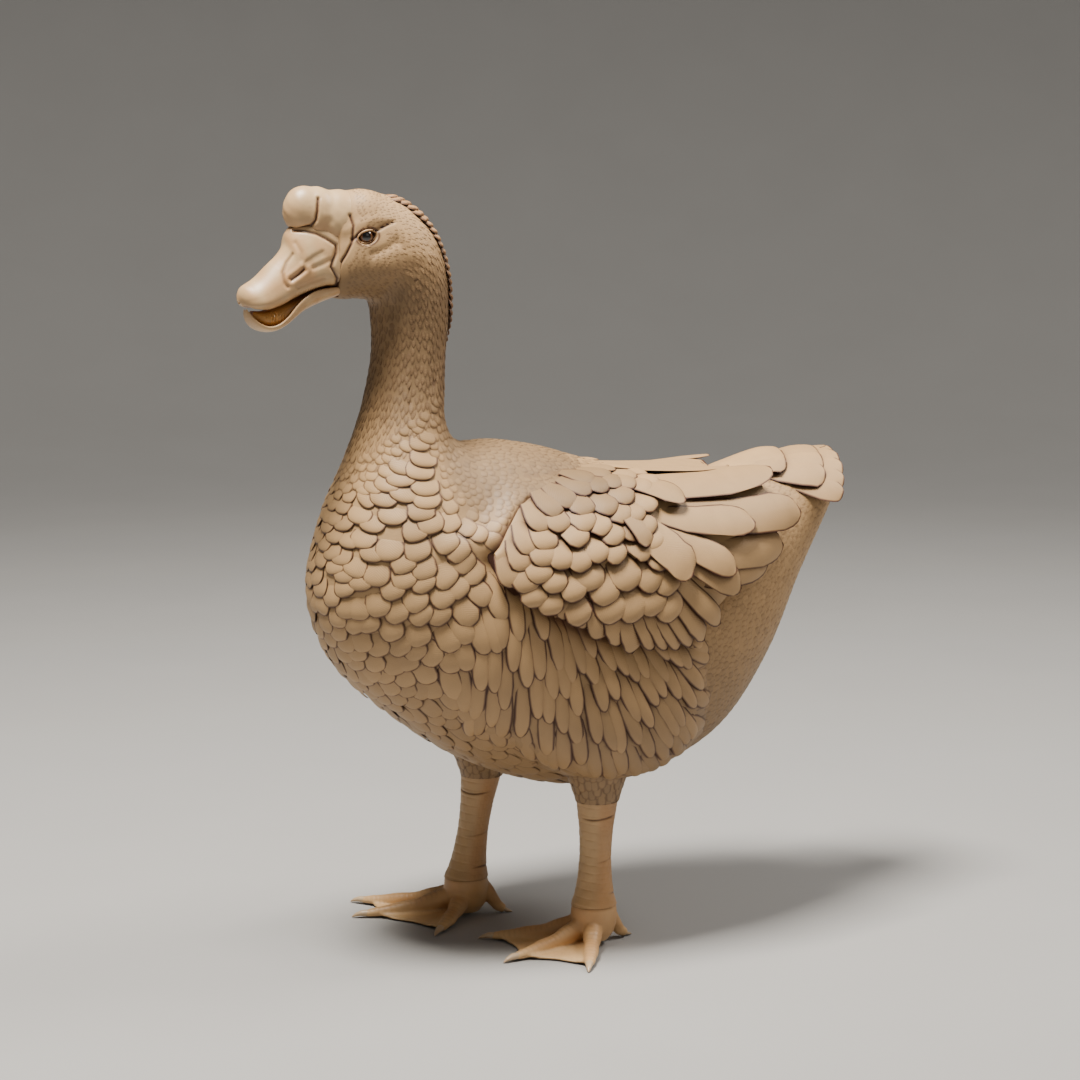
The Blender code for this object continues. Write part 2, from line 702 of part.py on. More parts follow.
def main():
    for old in list(bpy.data.objects):
        bpy.data.objects.remove(old)
    feather = material("feather", *FEATHER)
    horn = material("horn", *HORN)
    skin = material("leg_skin", *LEG_SKIN)
    claw = material("claw", *CLAW_HORN)
    eye = material("eye", *EYE_BROWN)
    mouth = material("mouth", *MOUTH)

    torso = body_length("torso", RUMP, NECK_BASE, 20, 28, feather)
    body_length("neck_lower", NECK_BASE, NECK_MIDDLE, 8, 20, feather)
    body_length("neck_upper", NECK_MIDDLE, THROAT, 7, 20, feather)
    head = body_length("head", THROAT, FOREHEAD, 14, 24, feather)
    tail_node = tail(feather)
    cut_clear(tail_node, torso, solver="MANIFOLD")
    folded = {"left": left_wing(feather)}
    folded["right"] = mirrored(folded["left"], "wing_right")
    for name, (side, forward, top_y, ankle_y) in STEPS.items():
        leg = thigh("thigh_" + name, side, forward, feather)
        cut_clear(leg, torso)
        cut_clear(folded[name], torso, leg, tail_node, solver="MANIFOLD")
        shank("shank_" + name, side, top_y, ankle_y, skin)
        foot("foot_" + name, side, ankle_y, TOES[name], skin, claw)
        ball = node("eye_" + name, ellipsoid((side * EYE[0], EYE[1], EYE[2]), (EYE_RADIUS,) * 3), eye)
        combine(head, [eyelid(side, feather)], "UNION")
        combine(head, [grown(ball)], "DIFFERENCE")
    upper = bill(horn, mouth, head)
    lobes = [node("knob" if i == 0 else "lobe", ellipsoid(*lobe), horn) for i, lobe in enumerate(KNOB)]
    knob = combine(lobes[0], lobes[1:], "UNION")
    cut_clear(knob, head, upper)
    centre_on_floor()


main()
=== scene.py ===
import math

import bmesh
import bpy
import numpy as np
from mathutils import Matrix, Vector
from mathutils.kdtree import KDTree


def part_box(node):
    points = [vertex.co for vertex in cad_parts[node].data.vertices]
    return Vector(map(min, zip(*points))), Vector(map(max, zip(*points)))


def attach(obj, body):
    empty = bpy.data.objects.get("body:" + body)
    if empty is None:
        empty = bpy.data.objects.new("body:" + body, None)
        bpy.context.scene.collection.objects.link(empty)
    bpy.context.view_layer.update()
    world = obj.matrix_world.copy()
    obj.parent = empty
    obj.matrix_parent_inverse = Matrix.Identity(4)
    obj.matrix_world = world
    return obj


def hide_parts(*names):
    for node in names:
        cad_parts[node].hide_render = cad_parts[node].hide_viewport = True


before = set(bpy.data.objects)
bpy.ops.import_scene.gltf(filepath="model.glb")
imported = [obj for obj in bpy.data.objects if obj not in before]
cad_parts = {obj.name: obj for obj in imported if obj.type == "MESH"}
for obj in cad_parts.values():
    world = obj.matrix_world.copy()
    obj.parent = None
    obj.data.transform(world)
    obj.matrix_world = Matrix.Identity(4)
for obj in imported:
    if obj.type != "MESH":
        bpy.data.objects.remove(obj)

MM = 0.001
TURN = 2 * math.pi
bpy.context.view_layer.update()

# Tables below are in millimetres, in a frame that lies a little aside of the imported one
EYE = np.array((22.3, -142.0, 607.0))
LEFT_EYE = sum(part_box("eye_left"), Vector()) / 2
SHIFT = np.array((LEFT_EYE.x / MM - EYE[0], LEFT_EYE.y / MM - EYE[1], 0.0))

# Body loft, from the tail to the forehead: back y, z; belly y, z; half width; lower fullness; squareness
BODY = (
    (317, 403, 321, 366, 33, 0.00, 2.2), (290, 403, 300, 333, 48, 0.00, 2.2),
    (252, 400, 270, 283, 61, 0.06, 2.2), (200, 397, 232, 214, 79, 0.10, 2.2),
    (139, 400, 180, 158, 97, 0.13, 2.2), (79, 414, 108, 131, 108, 0.15, 2.2),
    (28, 429, 32, 130, 110, 0.12, 2.2), (-11, 436, -46, 157, 108, 0.08, 2.2),
    (-34, 436, -108, 199, 99, 0.04, 2.15), (-48, 437, -160, 248, 87, 0.02, 2.1),
    (-60, 445, -181, 303, 73, 0.02, 2.1), (-65, 462, -172, 362, 58, 0.02, 2.05),
    (-64, 485, -152, 414, 45, 0.00, 2.0), (-62, 513, -135, 462, 36, 0.00, 2.0),
    (-59, 542, -126, 506, 32, 0.00, 2.0), (-61, 574, -126, 537, 31.5, 0.00, 2.0),
    (-71, 604, -129, 552, 33, 0.00, 2.0), (-90, 627, -141, 555, 33.5, 0.05, 2.0),
    (-114, 639, -154, 555, 31.5, 0.10, 2.1), (-141, 639, -164, 557, 28, 0.10, 2.2),
    (-166, 620, -171, 563, 20, 0.00, 2.2),
)
NAPE = (12.6, 18.6, 2.2, 0.30)  # raised stripe: first and last station, height, half width as a turn
COAT_DEPTH = ((0, 3.2), (9, 3.2), (11, 2.4), (13, 1.2), (16, 0.8), (20, 0.5))  # by station

THIGH = ((73, 51, 212), (43, 88, 66), -14.0)
THIGH_MELT = 12.0
STEPS = {"left": (1, 0, 51, 48), "right": (-1, 45, 6, -10)}
LEG_X, CUFF, ANKLE = 65, 126, 36

# Wing hull every HULL_STEP of y: y, height of its widest level, rise to its top, half width
HULL_STEP = 60.0
HULL = (
    (-120, 322, 92, 96), (-60, 318, 116, 112), (0, 300, 130, 123), (60, 295, 130, 126),
    (120, 303, 112, 121), (180, 325, 84, 104), (240, 354, 56, 78), (300, 380, 34, 50), (360, 395, 20, 30),
)
# Edges of the wing's leaf: y, upper and lower edge in degrees on the hull
LEAF = (
    (-66, 72, 77), (-52, 62, 84), (-36, 51, 89), (-16, 42, 92), (8, 32, 95), (36, 22, 98), (70, 14, 100),
    (110, 12, 102), (150, 12, 99), (185, 15, 89), (215, 20, 70),
)
ARC = 2.1  # millimetres for one degree on the wing hull
# Outline of the folded wing against the body, from the shoulder round below to the longest feather
BORDER = (
    (-22, 46.5), (-35, 53), (-53, 64.5), (-66, 74.5), (-60, 80), (-46, 82.5), (-20, 89.5), (0, 91),
    (33, 96.5), (50, 100.5), (80, 102.5), (104, 107), (129, 109), (139, 106), (158, 101), (198, 98),
    (216, 98), (236, 88.5), (248, 80.5),
)

TAIL_ROOT, TAIL_TOP, TAIL_RISE, TAIL_DROOP = 208, 400, 0.06, 0.011

# Camera: the point it looks at in metres, degrees round from the front, degrees up, and its distance
AIM, ROUND_BY, UP_BY, AWAY = Vector((0.0613, -0.038, 0.353)), 62, 8.5, 2.23
MIDDLE = Vector((0, 0, 0.35))  # where the lamps point

# Lamps: name, degrees round from the front, degrees up, distance, size, watts, colour
LAMPS = (
    ("key", 18, 74, 2.3, 0.7, 168, (1.0, 0.955, 0.885)),
    ("fill", 100, 28, 2.9, 1.6, 4, (0.95, 0.97, 1.0)),
    ("rim", 170, 48, 2.6, 1.0, 44, (1.0, 0.955, 0.9)),
)

# Colours, linear
TAN = np.array((0.43, 0.262, 0.118))
PALE = np.array((0.49, 0.325, 0.165))
UMBER = np.array((0.26, 0.12, 0.045))
HORN = np.array((0.54, 0.36, 0.185))
HORN_WARM = np.array((0.50, 0.27, 0.115))
LEG = np.array((0.47, 0.235, 0.085))
LEG_PALE = np.array((0.53, 0.34, 0.16))
GUM = np.array((0.50, 0.205, 0.05))
TONGUE = np.array((0.68, 0.35, 0.10))
CLAW = np.array((0.56, 0.41, 0.25))
# Colour of the painted shade in gaps between feathers, in grooves and along the wing's outline
CREVICE_SHADE = np.array((0.050, 0.010, 0.0025))
RNG = np.random.default_rng(11)


def rows(table, at):
    """Rows of a table at fractional indices, on a smooth curve through them."""
    table = np.asarray(table, float)
    last = len(table) - 1
    at = np.asarray(at, float)
    i = np.clip(np.floor(at).astype(int), 0, last - 1)
    t = (at - i)[..., None]
    a, b, c, d = (table[np.clip(i + k, 0, last)] for k in (-1, 0, 1, 2))
    return b + 0.5 * t * (c - a + t * (2 * a - 5 * b + 4 * c - d + t * (3 * (b - c) + d - a)))


def ease(x, low, high):
    """0 below low, 1 above high, smooth between."""
    t = np.clip((np.asarray(x, float) - low) / (high - low), 0, 1)
    return t * t * (3 - 2 * t)


def noise(x, y, seed, wrap=64):
    """Smooth noise from -1 to 1 over cells of size 1. It repeats in y after wrap cells."""
    table = np.random.default_rng(seed).uniform(-1, 1, (64, wrap))
    i, j = np.floor(x).astype(int), np.floor(y).astype(int)
    s, t = ease(x - i, 0, 1), ease(y - j, 0, 1)
    i, k, j, m = i % 64, (i + 1) % 64, j % wrap, (j + 1) % wrap
    near, far = table[i, j] * (1 - s) + table[k, j] * s, table[i, m] * (1 - s) + table[k, m] * s
    return near * (1 - t) + far * t


def unit(v):
    """Vectors brought to length 1."""
    return v / np.maximum(np.linalg.norm(v, axis=-1, keepdims=True), 1e-9)


def body_points(at, angle):
    """Points of the body loft at stations and angles from the middle of the back down the left side."""
    row = rows(BODY, at)
    back, belly, half, lower, square = row[..., 0:2], row[..., 2:4], row[..., 4], row[..., 5], row[..., 6]
    middle, rise = (back + belly) / 2, (back - belly) / 2
    c, s = np.cos(angle), np.sin(angle)
    up = np.sign(c) * np.abs(c) ** (2 / square)
    side = np.sign(s) * np.abs(s) ** (2 / square)
    first, last, height, width = NAPE
    share = np.clip((at - first) / (last - first), 0, 1)
    turn = np.remainder(angle + math.pi, TURN) - math.pi
    stripe = np.exp(-(turn / width) ** 2)
    swell = 1 + height * np.sin(math.pi * share) ** 0.5 / np.linalg.norm(rise, axis=-1) * stripe
    yz = middle + rise * (up * swell)[..., None]
    return np.stack([half * side * (1 - lower * up), yz[..., 0], yz[..., 1]], -1)


def hull_points(y, degrees):
    """Points of the left wing's hull."""
    row = rows(HULL, (y - HULL[0][0]) / HULL_STEP)
    turn = np.radians(degrees)
    return np.stack([row[..., 3] * np.sin(turn), y, row[..., 1] + row[..., 2] * np.cos(turn)], -1)


def tail_points(y, x):
    """Points of the roof-shaped hull under the tail feathers."""
    return np.stack([x, y, TAIL_TOP + TAIL_RISE * (y - TAIL_ROOT) - TAIL_DROOP * x * x], -1)


def egg(points, centre, radii, degrees):
    """Distance, roughly, of points from an egg turned about the X axis."""
    turn = math.radians(-degrees)
    p = points - np.array(centre, float)
    y = p[..., 1] * math.cos(turn) - p[..., 2] * math.sin(turn)
    z = p[..., 1] * math.sin(turn) + p[..., 2] * math.cos(turn)
    p = np.stack([p[..., 0], y, z], -1)
    near = np.linalg.norm(p / radii, axis=-1)
    steep = np.linalg.norm(p / np.square(radii), axis=-1)
    return near * (near - 1) / np.maximum(steep, 1e-9)


def melt(a, b, reach):
    """Smooth least of two distances."""
    h = np.clip(0.5 + 0.5 * (b - a) / reach, 0, 1)
    return b * (1 - h) + a * h - reach * h * (1 - h)


def near_line(points, line):
    """Distance of points from a line of points."""
    best = np.full(points.shape[:-1], 1e9)
    for a, b in zip(np.array(line[:-1], float), np.array(line[1:], float)):
        share = np.clip(((points - a) @ (b - a)) / max((b - a) @ (b - a), 1e-9), 0, 1)
        best = np.minimum(best, np.linalg.norm(points - a - share[..., None] * (b - a), axis=-1))
    return best


# Directions to the right and up in the camera's picture
VIEW = np.array(((0.4695, -0.1305), (0.8829, 0.0694), (0.0, 0.989)))


def near_view(points, line):
    """Distance from a line as the camera sees it, for points of either side folded to the left."""
    line = np.array(line, float)
    return near_line(points @ VIEW, line @ VIEW) + 30 * (near_line(points, line) > 11)


class Surface:
    """A surface sampled over two parameters, for laying things on it."""

    def __init__(self, us, vs, points, sense, round_=False):
        self.us, self.vs, self.sense, self.round = us, vs, sense, round_
        if round_:
            ring = np.concatenate([points[:, -2:-1], points, points[:, 1:2]], 1)
            around = np.gradient(ring, vs[1] - vs[0], axis=1)[:, 1:-1]
        else:
            around = np.gradient(points, vs[1] - vs[0], axis=1)
        along = np.gradient(points, us, axis=0)
        normal = unit(np.cross(around, along))
        centre = points.mean(1, keepdims=True)
        if np.sum(normal * (points - centre)) < 0:
            normal = -normal
        self.points = points
        self.normals = normal
        self.data = np.concatenate([points, normal, along, around], -1)

    def read(self, u, v):
        """Point, normal and the two slopes at parameters."""
        if self.round:
            v = np.remainder(v, TURN)
        a = np.interp(u, self.us, np.arange(len(self.us)))
        b = np.clip((v - self.vs[0]) / (self.vs[1] - self.vs[0]), 0, len(self.vs) - 1)
        i, j = np.minimum(a.astype(int), len(self.us) - 2), np.minimum(b.astype(int), len(self.vs) - 2)
        s, t = (a - i)[..., None], (b - j)[..., None]
        d = self.data
        near, far = (d[i, k] * (1 - s) + d[i + 1, k] * s for k in (j, j + 1))
        found = near * (1 - t) + far * t
        return found[..., 0:3], unit(found[..., 3:6]), found[..., 6:9], found[..., 9:12]

    def step(self, along, around, move):
        """Change of the parameters for a small move along the surface."""
        a, b, c = (np.sum(x * y, -1) for x, y in ((along, along), (along, around), (around, around)))
        p, q = np.sum(move * along, -1), np.sum(move * around, -1)
        under = np.maximum(a * c - b * b, 1e-9)
        return (c * p - b * q) / under, (a * q - b * p) / under

    def lie(self, normal, along, around, v, turn):
        """Unit direction of the coat, turned from the surface's own lie towards the belly."""
        back = unit(along * self.sense)
        down = unit(np.cross(normal, back))
        down = down * np.sign(np.sum(down * around, -1, keepdims=True) + 1e-12)
        if self.round:
            down = down * np.where(np.remainder(v, TURN) < math.pi, 1.0, -1.0)[..., None]
        return back * np.cos(turn)[..., None] + down * np.sin(turn)[..., None]


def turned(v):
    """Angle from the middle of the back, 0 to pi on either side."""
    v = np.remainder(v, TURN)
    return np.minimum(v, TURN - v)


def body_surface():
    """The skin under the coat: the loft drawn in by the coat's depth, swollen at thighs and shoulders."""
    spans = ((0, 0.6, 0.04), (0.6, 11, 0.1), (11, 16, 0.05), (16, 20.001, 0.025))
    us = np.concatenate([np.arange(*span) for span in spans])
    vs = np.linspace(0, TURN, 289)
    at, angle = np.meshgrid(us, vs, indexing="ij")
    bare = Surface(us, vs, body_points(at, angle), -1, True)
    points, normals = bare.points, bare.normals
    height = np.zeros(at.shape)
    for side, forward, _, _ in STEPS.values():
        (x, y, z), radii, turn = THIGH
        t = np.zeros(at.shape)
        for _ in range(24):
            place = points + normals * t[..., None]
            t = t - 0.8 * melt(t, egg(place, (side * x, y - forward, z), radii, turn), THIGH_MELT)
        height = np.maximum(height, np.where(at < 11, t, 0))
    m = np.degrees(turned(angle))
    pouch = ease(at, 4.4, 4.75) * (1 - ease(at, 7.0, 9.5)) * ease(m, 66, 90) * (1 - ease(m, 122, 150))
    height = height + shoulder(points) + 6.5 * pouch
    t = np.zeros(at.shape)
    for _ in range(24):
        t = t - 0.8 * melt(t, egg(points + normals * t[..., None], *LOBE), 7.0)
    height = np.maximum(height, np.where(at > 17.5, t, -99)) - 3.0 * ease(at, 19.55, 20)
    depth = np.interp(at, *zip(*COAT_DEPTH))
    points = points + normals * (height - depth)[..., None]
    middle = points[:, :-1].mean(1, keepdims=True)
    round_off = np.sqrt(1 - np.clip(1 - at / 0.6, 0, 0.98) ** 2)
    return us, vs, middle + (points - middle) * round_off[..., None]


def leaf_edges(y):
    """Upper and lower edge of the wing's leaf in degrees."""
    table = np.array(LEAF, float)
    return np.interp(y, table[:, 0], table[:, 1]), np.interp(y, table[:, 0], table[:, 2])


def round_hull(points):
    """The wing hull's row at points, their shares of its half width and height, and their angle on it."""
    row = rows(HULL, np.clip((points[..., 1] - HULL[0][0]) / HULL_STEP, 0, len(HULL) - 1))
    across, up = np.abs(points[..., 0]) / row[..., 3], (points[..., 2] - row[..., 1]) / row[..., 2]
    return row, across, up, np.degrees(np.arctan2(across, up))


def beyond_wing(points):
    """How far points lie outside the wing's lower border, in millimetres round its hull."""
    return (round_hull(points)[3] - leaf_edges(points[..., 1])[1]) * ARC


def on_hull(points):
    """Places of points on the unrolled wing hull, in millimetres."""
    return np.stack([points[..., 1], round_hull(points)[3] * ARC], -1)


def border_line(points, half):
    """1 on the outline of the folded wing and 0 away from it."""
    return np.exp(-(near_line(on_hull(points), np.array(BORDER) * (1, ARC)) / half) ** 2)


def border_dip(points):
    """1 in the furrow that runs along the wing's lower border, and 0 away from it."""
    y = points[..., 1]
    along = ease(y, -74, -58) * (1 - ease(y, 190, 222))
    return np.maximum(np.exp(-((beyond_wing(points) - 3) / 6.5) ** 2) * along, border_line(points, 5.0))


def sunk(y, degrees):
    """How deep the feathers' hull lies under the wing hull, near the back and at the wing's front."""
    return 10.0 * (1 - ease(degrees, 4, 40)) + 1.5 * (1 - ease(y, -70, -35))


def shoulder(points):
    """How far the body swells to meet the wing's front and upper edges."""
    y = points[..., 1]
    row, px, pz, around = round_hull(points)
    gap = (1 - np.hypot(px, pz)) * np.minimum(row[..., 3], row[..., 2])
    top, bottom = leaf_edges(y)
    ahead = np.maximum(LEAF[0][0] - y, 0)
    above = np.maximum((top - around) * ARC, 0)
    below = np.maximum((around - bottom) * ARC + 34, 0)
    near = 1 - ease(np.hypot(ahead * 0.8, above), 0, 46)
    near = near * (1 - ease(below, 0, 24 + 16 * ease(-y, 40, 66)))
    under = np.clip(gap - sunk(y, around) - 0.4, 0, 16) * near * (1 - ease(y, 120, 200))
    return under * np.where(around < top + 12, 1.0, 0.8) - 3.5 * border_dip(points)


def lay(surface, u, v, turn, length, width, form, lifts, dome, seed, tilt=0.0, shade_depth=1.0):
    """Vertices of feathers laid along a surface, as count x rows x columns x 3.

    With them come their places on the vane in millimetres, and how deep the painted shade beside it is.
    """
    rng = np.random.default_rng(seed)
    shares, halves, across, curl = form
    n, m, count = len(shares), len(across), len(u)
    made = np.empty((count, n, m, 3))
    vane = np.zeros((count, n, m, 3))
    ragged = 1 + rng.normal(0, 0.035, (count, n, 2))
    bend = rng.normal(0, 0.10, count) * np.minimum(1, 35 / length)
    u, v = u.copy(), v.copy()
    for k in range(n):
        _, normal, along, around = surface.read(u, v)
        way = surface.lie(normal, along, around, v, turn + bend * shares[k])
        side = np.cross(normal, way)
        t = shares[k]
        climb = (lifts[1] - lifts[0]) * min(1, t / 0.8) ** 0.9
        base = lifts[0] + climb - curl * max(0, (t - 0.8) / 0.2) ** 2
        rise = 0.35 + 0.65 * ease(t, 0.1, 0.65)
        for j, share in enumerate(across):
            half = width / 2 * halves[k] * ragged[:, k, 0 if share < 0 else 1]
            du, dv = surface.step(along, around, side * (share * half)[:, None])
            place, up, _, _ = surface.read(u + du, v + dv)
            high = base + rise * (dome * halves[k] * (1 - abs(share) ** 2.2) + tilt * share)
            made[:, k, j] = place + up * high[:, None]
            vane[:, k, j, 0] = share * half
            vane[:, k, j, 1] = t * length
            vane[:, k, j, 2] = shade_depth
        if k < n - 1:
            du, dv = surface.step(along, around, way * (length * (shares[k + 1] - t))[:, None])
            u, v = u + du, v + dv
    return made, vane


def aimed(surface, root, tip):
    """Turns and lengths that lead from places of a surface to other places."""
    start, normal, along, around = surface.read(root[:, 0], root[:, 1])
    end, _, _, _ = surface.read(tip[:, 0], tip[:, 1])
    level = np.zeros(len(root))
    back, down = (surface.lie(normal, along, around, root[:, 1], level + a) for a in (0, math.pi / 2))
    gone = end - start
    for _ in range(6):
        ahead, aside = np.sum(gone * back, -1), np.sum(gone * down, -1)
        turn, length = np.arctan2(aside, ahead), np.hypot(ahead, aside)
        u, v = root[:, 0], root[:, 1]
        for _ in range(10):
            _, normal, along, around = surface.read(u, v)
            way = surface.lie(normal, along, around, v, turn)
            du, dv = surface.step(along, around, way * (length / 10)[:, None])
            u, v = u + du, v + dv
        gone = gone + end - surface.read(u, v)[0]
    return turn, length


def vane_faces(n, m):
    """Faces of one feather: domed upper face, flat under face and the ends."""
    at = np.arange(n * m).reshape(n, m)
    top = np.stack([at[:-1, :-1], at[1:, :-1], at[1:, 1:], at[:-1, 1:]], -1).reshape(-1, 4)
    under = np.stack([at[:-1, 0], at[:-1, -1], at[1:, -1], at[1:, 0]], -1)
    return [np.concatenate([top, under]), at[:1], at[-1:, ::-1]]


def placed(name, data):
    """A new object in the scene."""
    made = bpy.data.objects.new(name, data)
    bpy.context.scene.collection.objects.link(made)
    return made


def new_object(name, points, groups, finish, values=(), uv=None, smooth=True):
    """Object from points in table millimetres and groups of faces with equal corners."""
    mesh = bpy.data.meshes.new(name)
    sizes = np.concatenate([np.full(len(g), g.shape[1]) for g in groups])
    corners = np.concatenate([g.ravel() for g in groups]).astype(np.int32)
    mesh.vertices.add(len(points))
    mesh.vertices.foreach_set("co", ((points + SHIFT) * MM).astype(np.float32).ravel())
    mesh.loops.add(len(corners))
    mesh.loops.foreach_set("vertex_index", corners)
    mesh.polygons.add(len(sizes))
    mesh.polygons.foreach_set("loop_start", np.concatenate([[0], np.cumsum(sizes)[:-1]]).astype(np.int32))
    mesh.update(calc_edges=True)
    for label, kind, array in values:
        made = mesh.attributes.new(label, kind, "POINT")
        slot = {"FLOAT": "value", "FLOAT_COLOR": "color", "FLOAT_VECTOR": "vector"}[kind]
        made.data.foreach_set(slot, np.ascontiguousarray(array, np.float32).ravel())
    if uv is not None:
        mesh.uv_layers.new(name="OFBake").data.foreach_set("uv", uv[corners].astype(np.float32).ravel())
    mesh.polygons.foreach_set("use_smooth", np.full(len(sizes), smooth))
    if smooth:
        mesh.set_sharp_from_angle(angle=math.radians(48))
    mesh.materials.append(finish)
    made = placed(name, mesh)
    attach(made, "root")
    return made


def rgba(colour):
    """Colours with an opaque fourth part."""
    return np.concatenate([colour, np.ones(colour.shape[:-1] + (1,))], -1)


def mirrored(points, groups):
    """Points and faces of the other side's copy."""
    return points * (-1, 1, 1), [g[:, ::-1] for g in groups]


def folded(points):
    """Points of either side, folded to the left."""
    return points * np.where(points[..., :1] < 0, (-1, 1, 1), (1, 1, 1))


def circle(count):
    """Angles that go evenly round."""
    return np.linspace(0, TURN, count + 1)[:-1]


def body_unwrap(u, v):
    """Places on an unwrap of the body's skin."""
    return np.stack([u / (len(BODY) - 1.0), np.remainder(v, TURN) / TURN], -1)


def wing_unwrap(u, v):
    """Places on an unwrap of the wing's hull."""
    return np.stack([(u + 110) / 420, v / 130], -1)


def coat(name, made, vane, tint, roots, mirror=False, shade=None):
    """One coat piece from laid feathers. Roots are their places on an unwrap of the skin."""
    count, n, m, _ = made.shape
    points = made.reshape(-1, 3)
    base = (np.arange(count) * n * m)[:, None, None]
    groups = [(g[None] + base).reshape(-1, g.shape[1]) for g in vane_faces(n, m)]
    if mirror:
        points, groups = mirrored(points, groups)
    patch = roots[:, None, None, :] + (vane[..., :2] / vane[..., 1:2].max() - (0, 0.5)) * 0.0015
    colour = np.broadcast_to(tint[:, None, None, :], made.shape)
    # Painted shade: where shade is below 1 the colour is drawn towards the dark shade colour
    if shade is not None:
        colour = CREVICE_SHADE + (colour - CREVICE_SHADE) * shade[..., None]
    # Distance from each feather's own edge; the plumage finish lays painted shade along it
    half = np.abs(vane[..., 0])
    end = vane[..., 1].max((1, 2), keepdims=True) - vane[..., 1]
    rim = np.minimum(half.max(2, keepdims=True) - half, end)
    values = [("tint", "FLOAT_COLOR", rgba(colour)), ("vane", "FLOAT_VECTOR", vane), ("rim", "FLOAT", rim)]
    piece = new_object(name, points, groups, PLUMAGE, values, patch.reshape(-1, 2))
    return piece


def dressed(name, points, tint, crease_shade, finish, slot, *nodes, groups=None, mirror=False, uv=None):
    """A tinted piece with painted shade in its grooves, and the nodes it stands for. A bare grid of points
    is a capped tube.
    """
    if groups is None:
        groups = grid_faces(*points.shape[:2], True, True)
    tint = np.broadcast_to(tint, points.shape).reshape(-1, 3)
    crease_shade = np.broadcast_to(crease_shade, points.shape[:-1]).ravel()
    points = points.reshape(-1, 3)
    if mirror:
        points, groups = mirrored(points, groups)
    values = [("tint", "FLOAT_COLOR", rgba(tint)), ("crease_shade", "FLOAT", crease_shade)]
    made = new_object(name, points, groups, finish, values, uv)
    if nodes:
        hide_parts(*nodes)
    return made


def scatter(surface, box, style, tries, seed):
    """Even but irregular places on a surface, by the spacing that a style asks for."""
    rng = np.random.default_rng(seed)
    u, v = rng.uniform(box[0], box[1], tries), rng.uniform(box[2], box[3], tries)
    point, normal, along, around = surface.read(u, v)
    rule = style(u, v, point)
    area = np.linalg.norm(np.cross(along, around), axis=-1)
    weight = area / (rule["along"] * rule["across"]) * rule["here"]
    keep = rng.random(tries) < weight / np.percentile(weight, 99)
    u, v = u[keep], v[keep]
    rule = {key: value[keep] for key, value in rule.items()}
    point, normal, along, around = (x[keep] for x in (point, normal, along, around))
    way = surface.lie(normal, along, around, v, rule["turn"])
    side = np.cross(normal, way)
    tree = KDTree(len(u))
    for i, p in enumerate(point.tolist()):
        tree.insert(p, i)
    tree.balance()
    free = np.ones(len(u), bool)
    chosen = []
    reach = np.maximum(rule["along"], rule["across"])
    for i in range(len(u)):
        if not free[i]:
            continue
        chosen.append(i)
        near = np.array([found[1] for found in tree.find_range(point[i].tolist(), reach[i])])
        move = point[near] - point[i]
        far = (move @ way[i] / rule["along"][i]) ** 2 + (move @ side[i] / rule["across"][i]) ** 2
        free[near[far < 1]] = False
    chosen = np.array(chosen)
    return u[chosen], v[chosen], {key: value[chosen] for key, value in rule.items()}


# Feather outlines: shares along, half widths there, places across, and how far the tip curls down
ROUND = ((0, 0.25, 0.45, 0.62, 0.75, 0.86, 0.94, 0.985, 1.0),
         (0.62, 0.86, 0.98, 1.0, 0.96, 0.82, 0.60, 0.32, 0.12), (-1, -0.72, -0.36, 0, 0.36, 0.72, 1), 0.5)
LONG = ((0, 0.2, 0.4, 0.58, 0.72, 0.84, 0.93, 0.98, 1.0),
        (0.60, 0.84, 0.97, 1.0, 0.94, 0.78, 0.55, 0.30, 0.10), (-1, -0.72, -0.36, 0, 0.36, 0.72, 1), 0.6)
TUFT = ((0, 0.4, 0.75, 1.0), (0.8, 1.0, 0.78, 0.15), (-1, 0, 1), 0.0)
FLIGHT = ((0, 0.15, 0.3, 0.45, 0.6, 0.72, 0.82, 0.9, 0.955, 0.985, 1.0),
          (0.5, 0.75, 0.9, 0.98, 1.0, 1.0, 0.95, 0.84, 0.64, 0.42, 0.2),
          (-1, -0.82, -0.55, -0.28, -0.07, 0, 0.07, 0.28, 0.55, 0.82, 1), 0.6)


def body_tint_and_shade(points):
    """Colour of the plumage: tan, paler on the breast; the neck, upper back and underside darkened with
    painted shade.
    """
    x, y, z = np.abs(points[..., 0]), points[..., 1], points[..., 2]
    blotch = noise(y / 34, z / 34, 3)[..., None] * 0.03 + noise(y / 9, z / 9 + x / 7, 4)[..., None] * 0.025
    colour = TAN * (1 + blotch)
    breast = (ease(-y, 60, 150) * (1 - ease(z, 420, 500)))[..., None] * 0.12
    colour = colour + (PALE - colour) * breast
    # Painted shade: a band round the neck, the upper back behind it and the underside are darkened
    neck = ease(z, 430, 490) * (1 - ease(z, 560, 596))
    mantle = ease(z, 360, 400) * (1 - ease(x, 70, 105)) * ease(y, -100, -74)
    mantle = mantle * (1 - ease(y, 30, 70)) * (1 - ease(z, 450, 480))
    under = 1 - ease(z, 160, 330)
    return colour * (1 - np.maximum(np.maximum(0.50 * neck, 0.48 * mantle), 0.42 * under))[..., None]


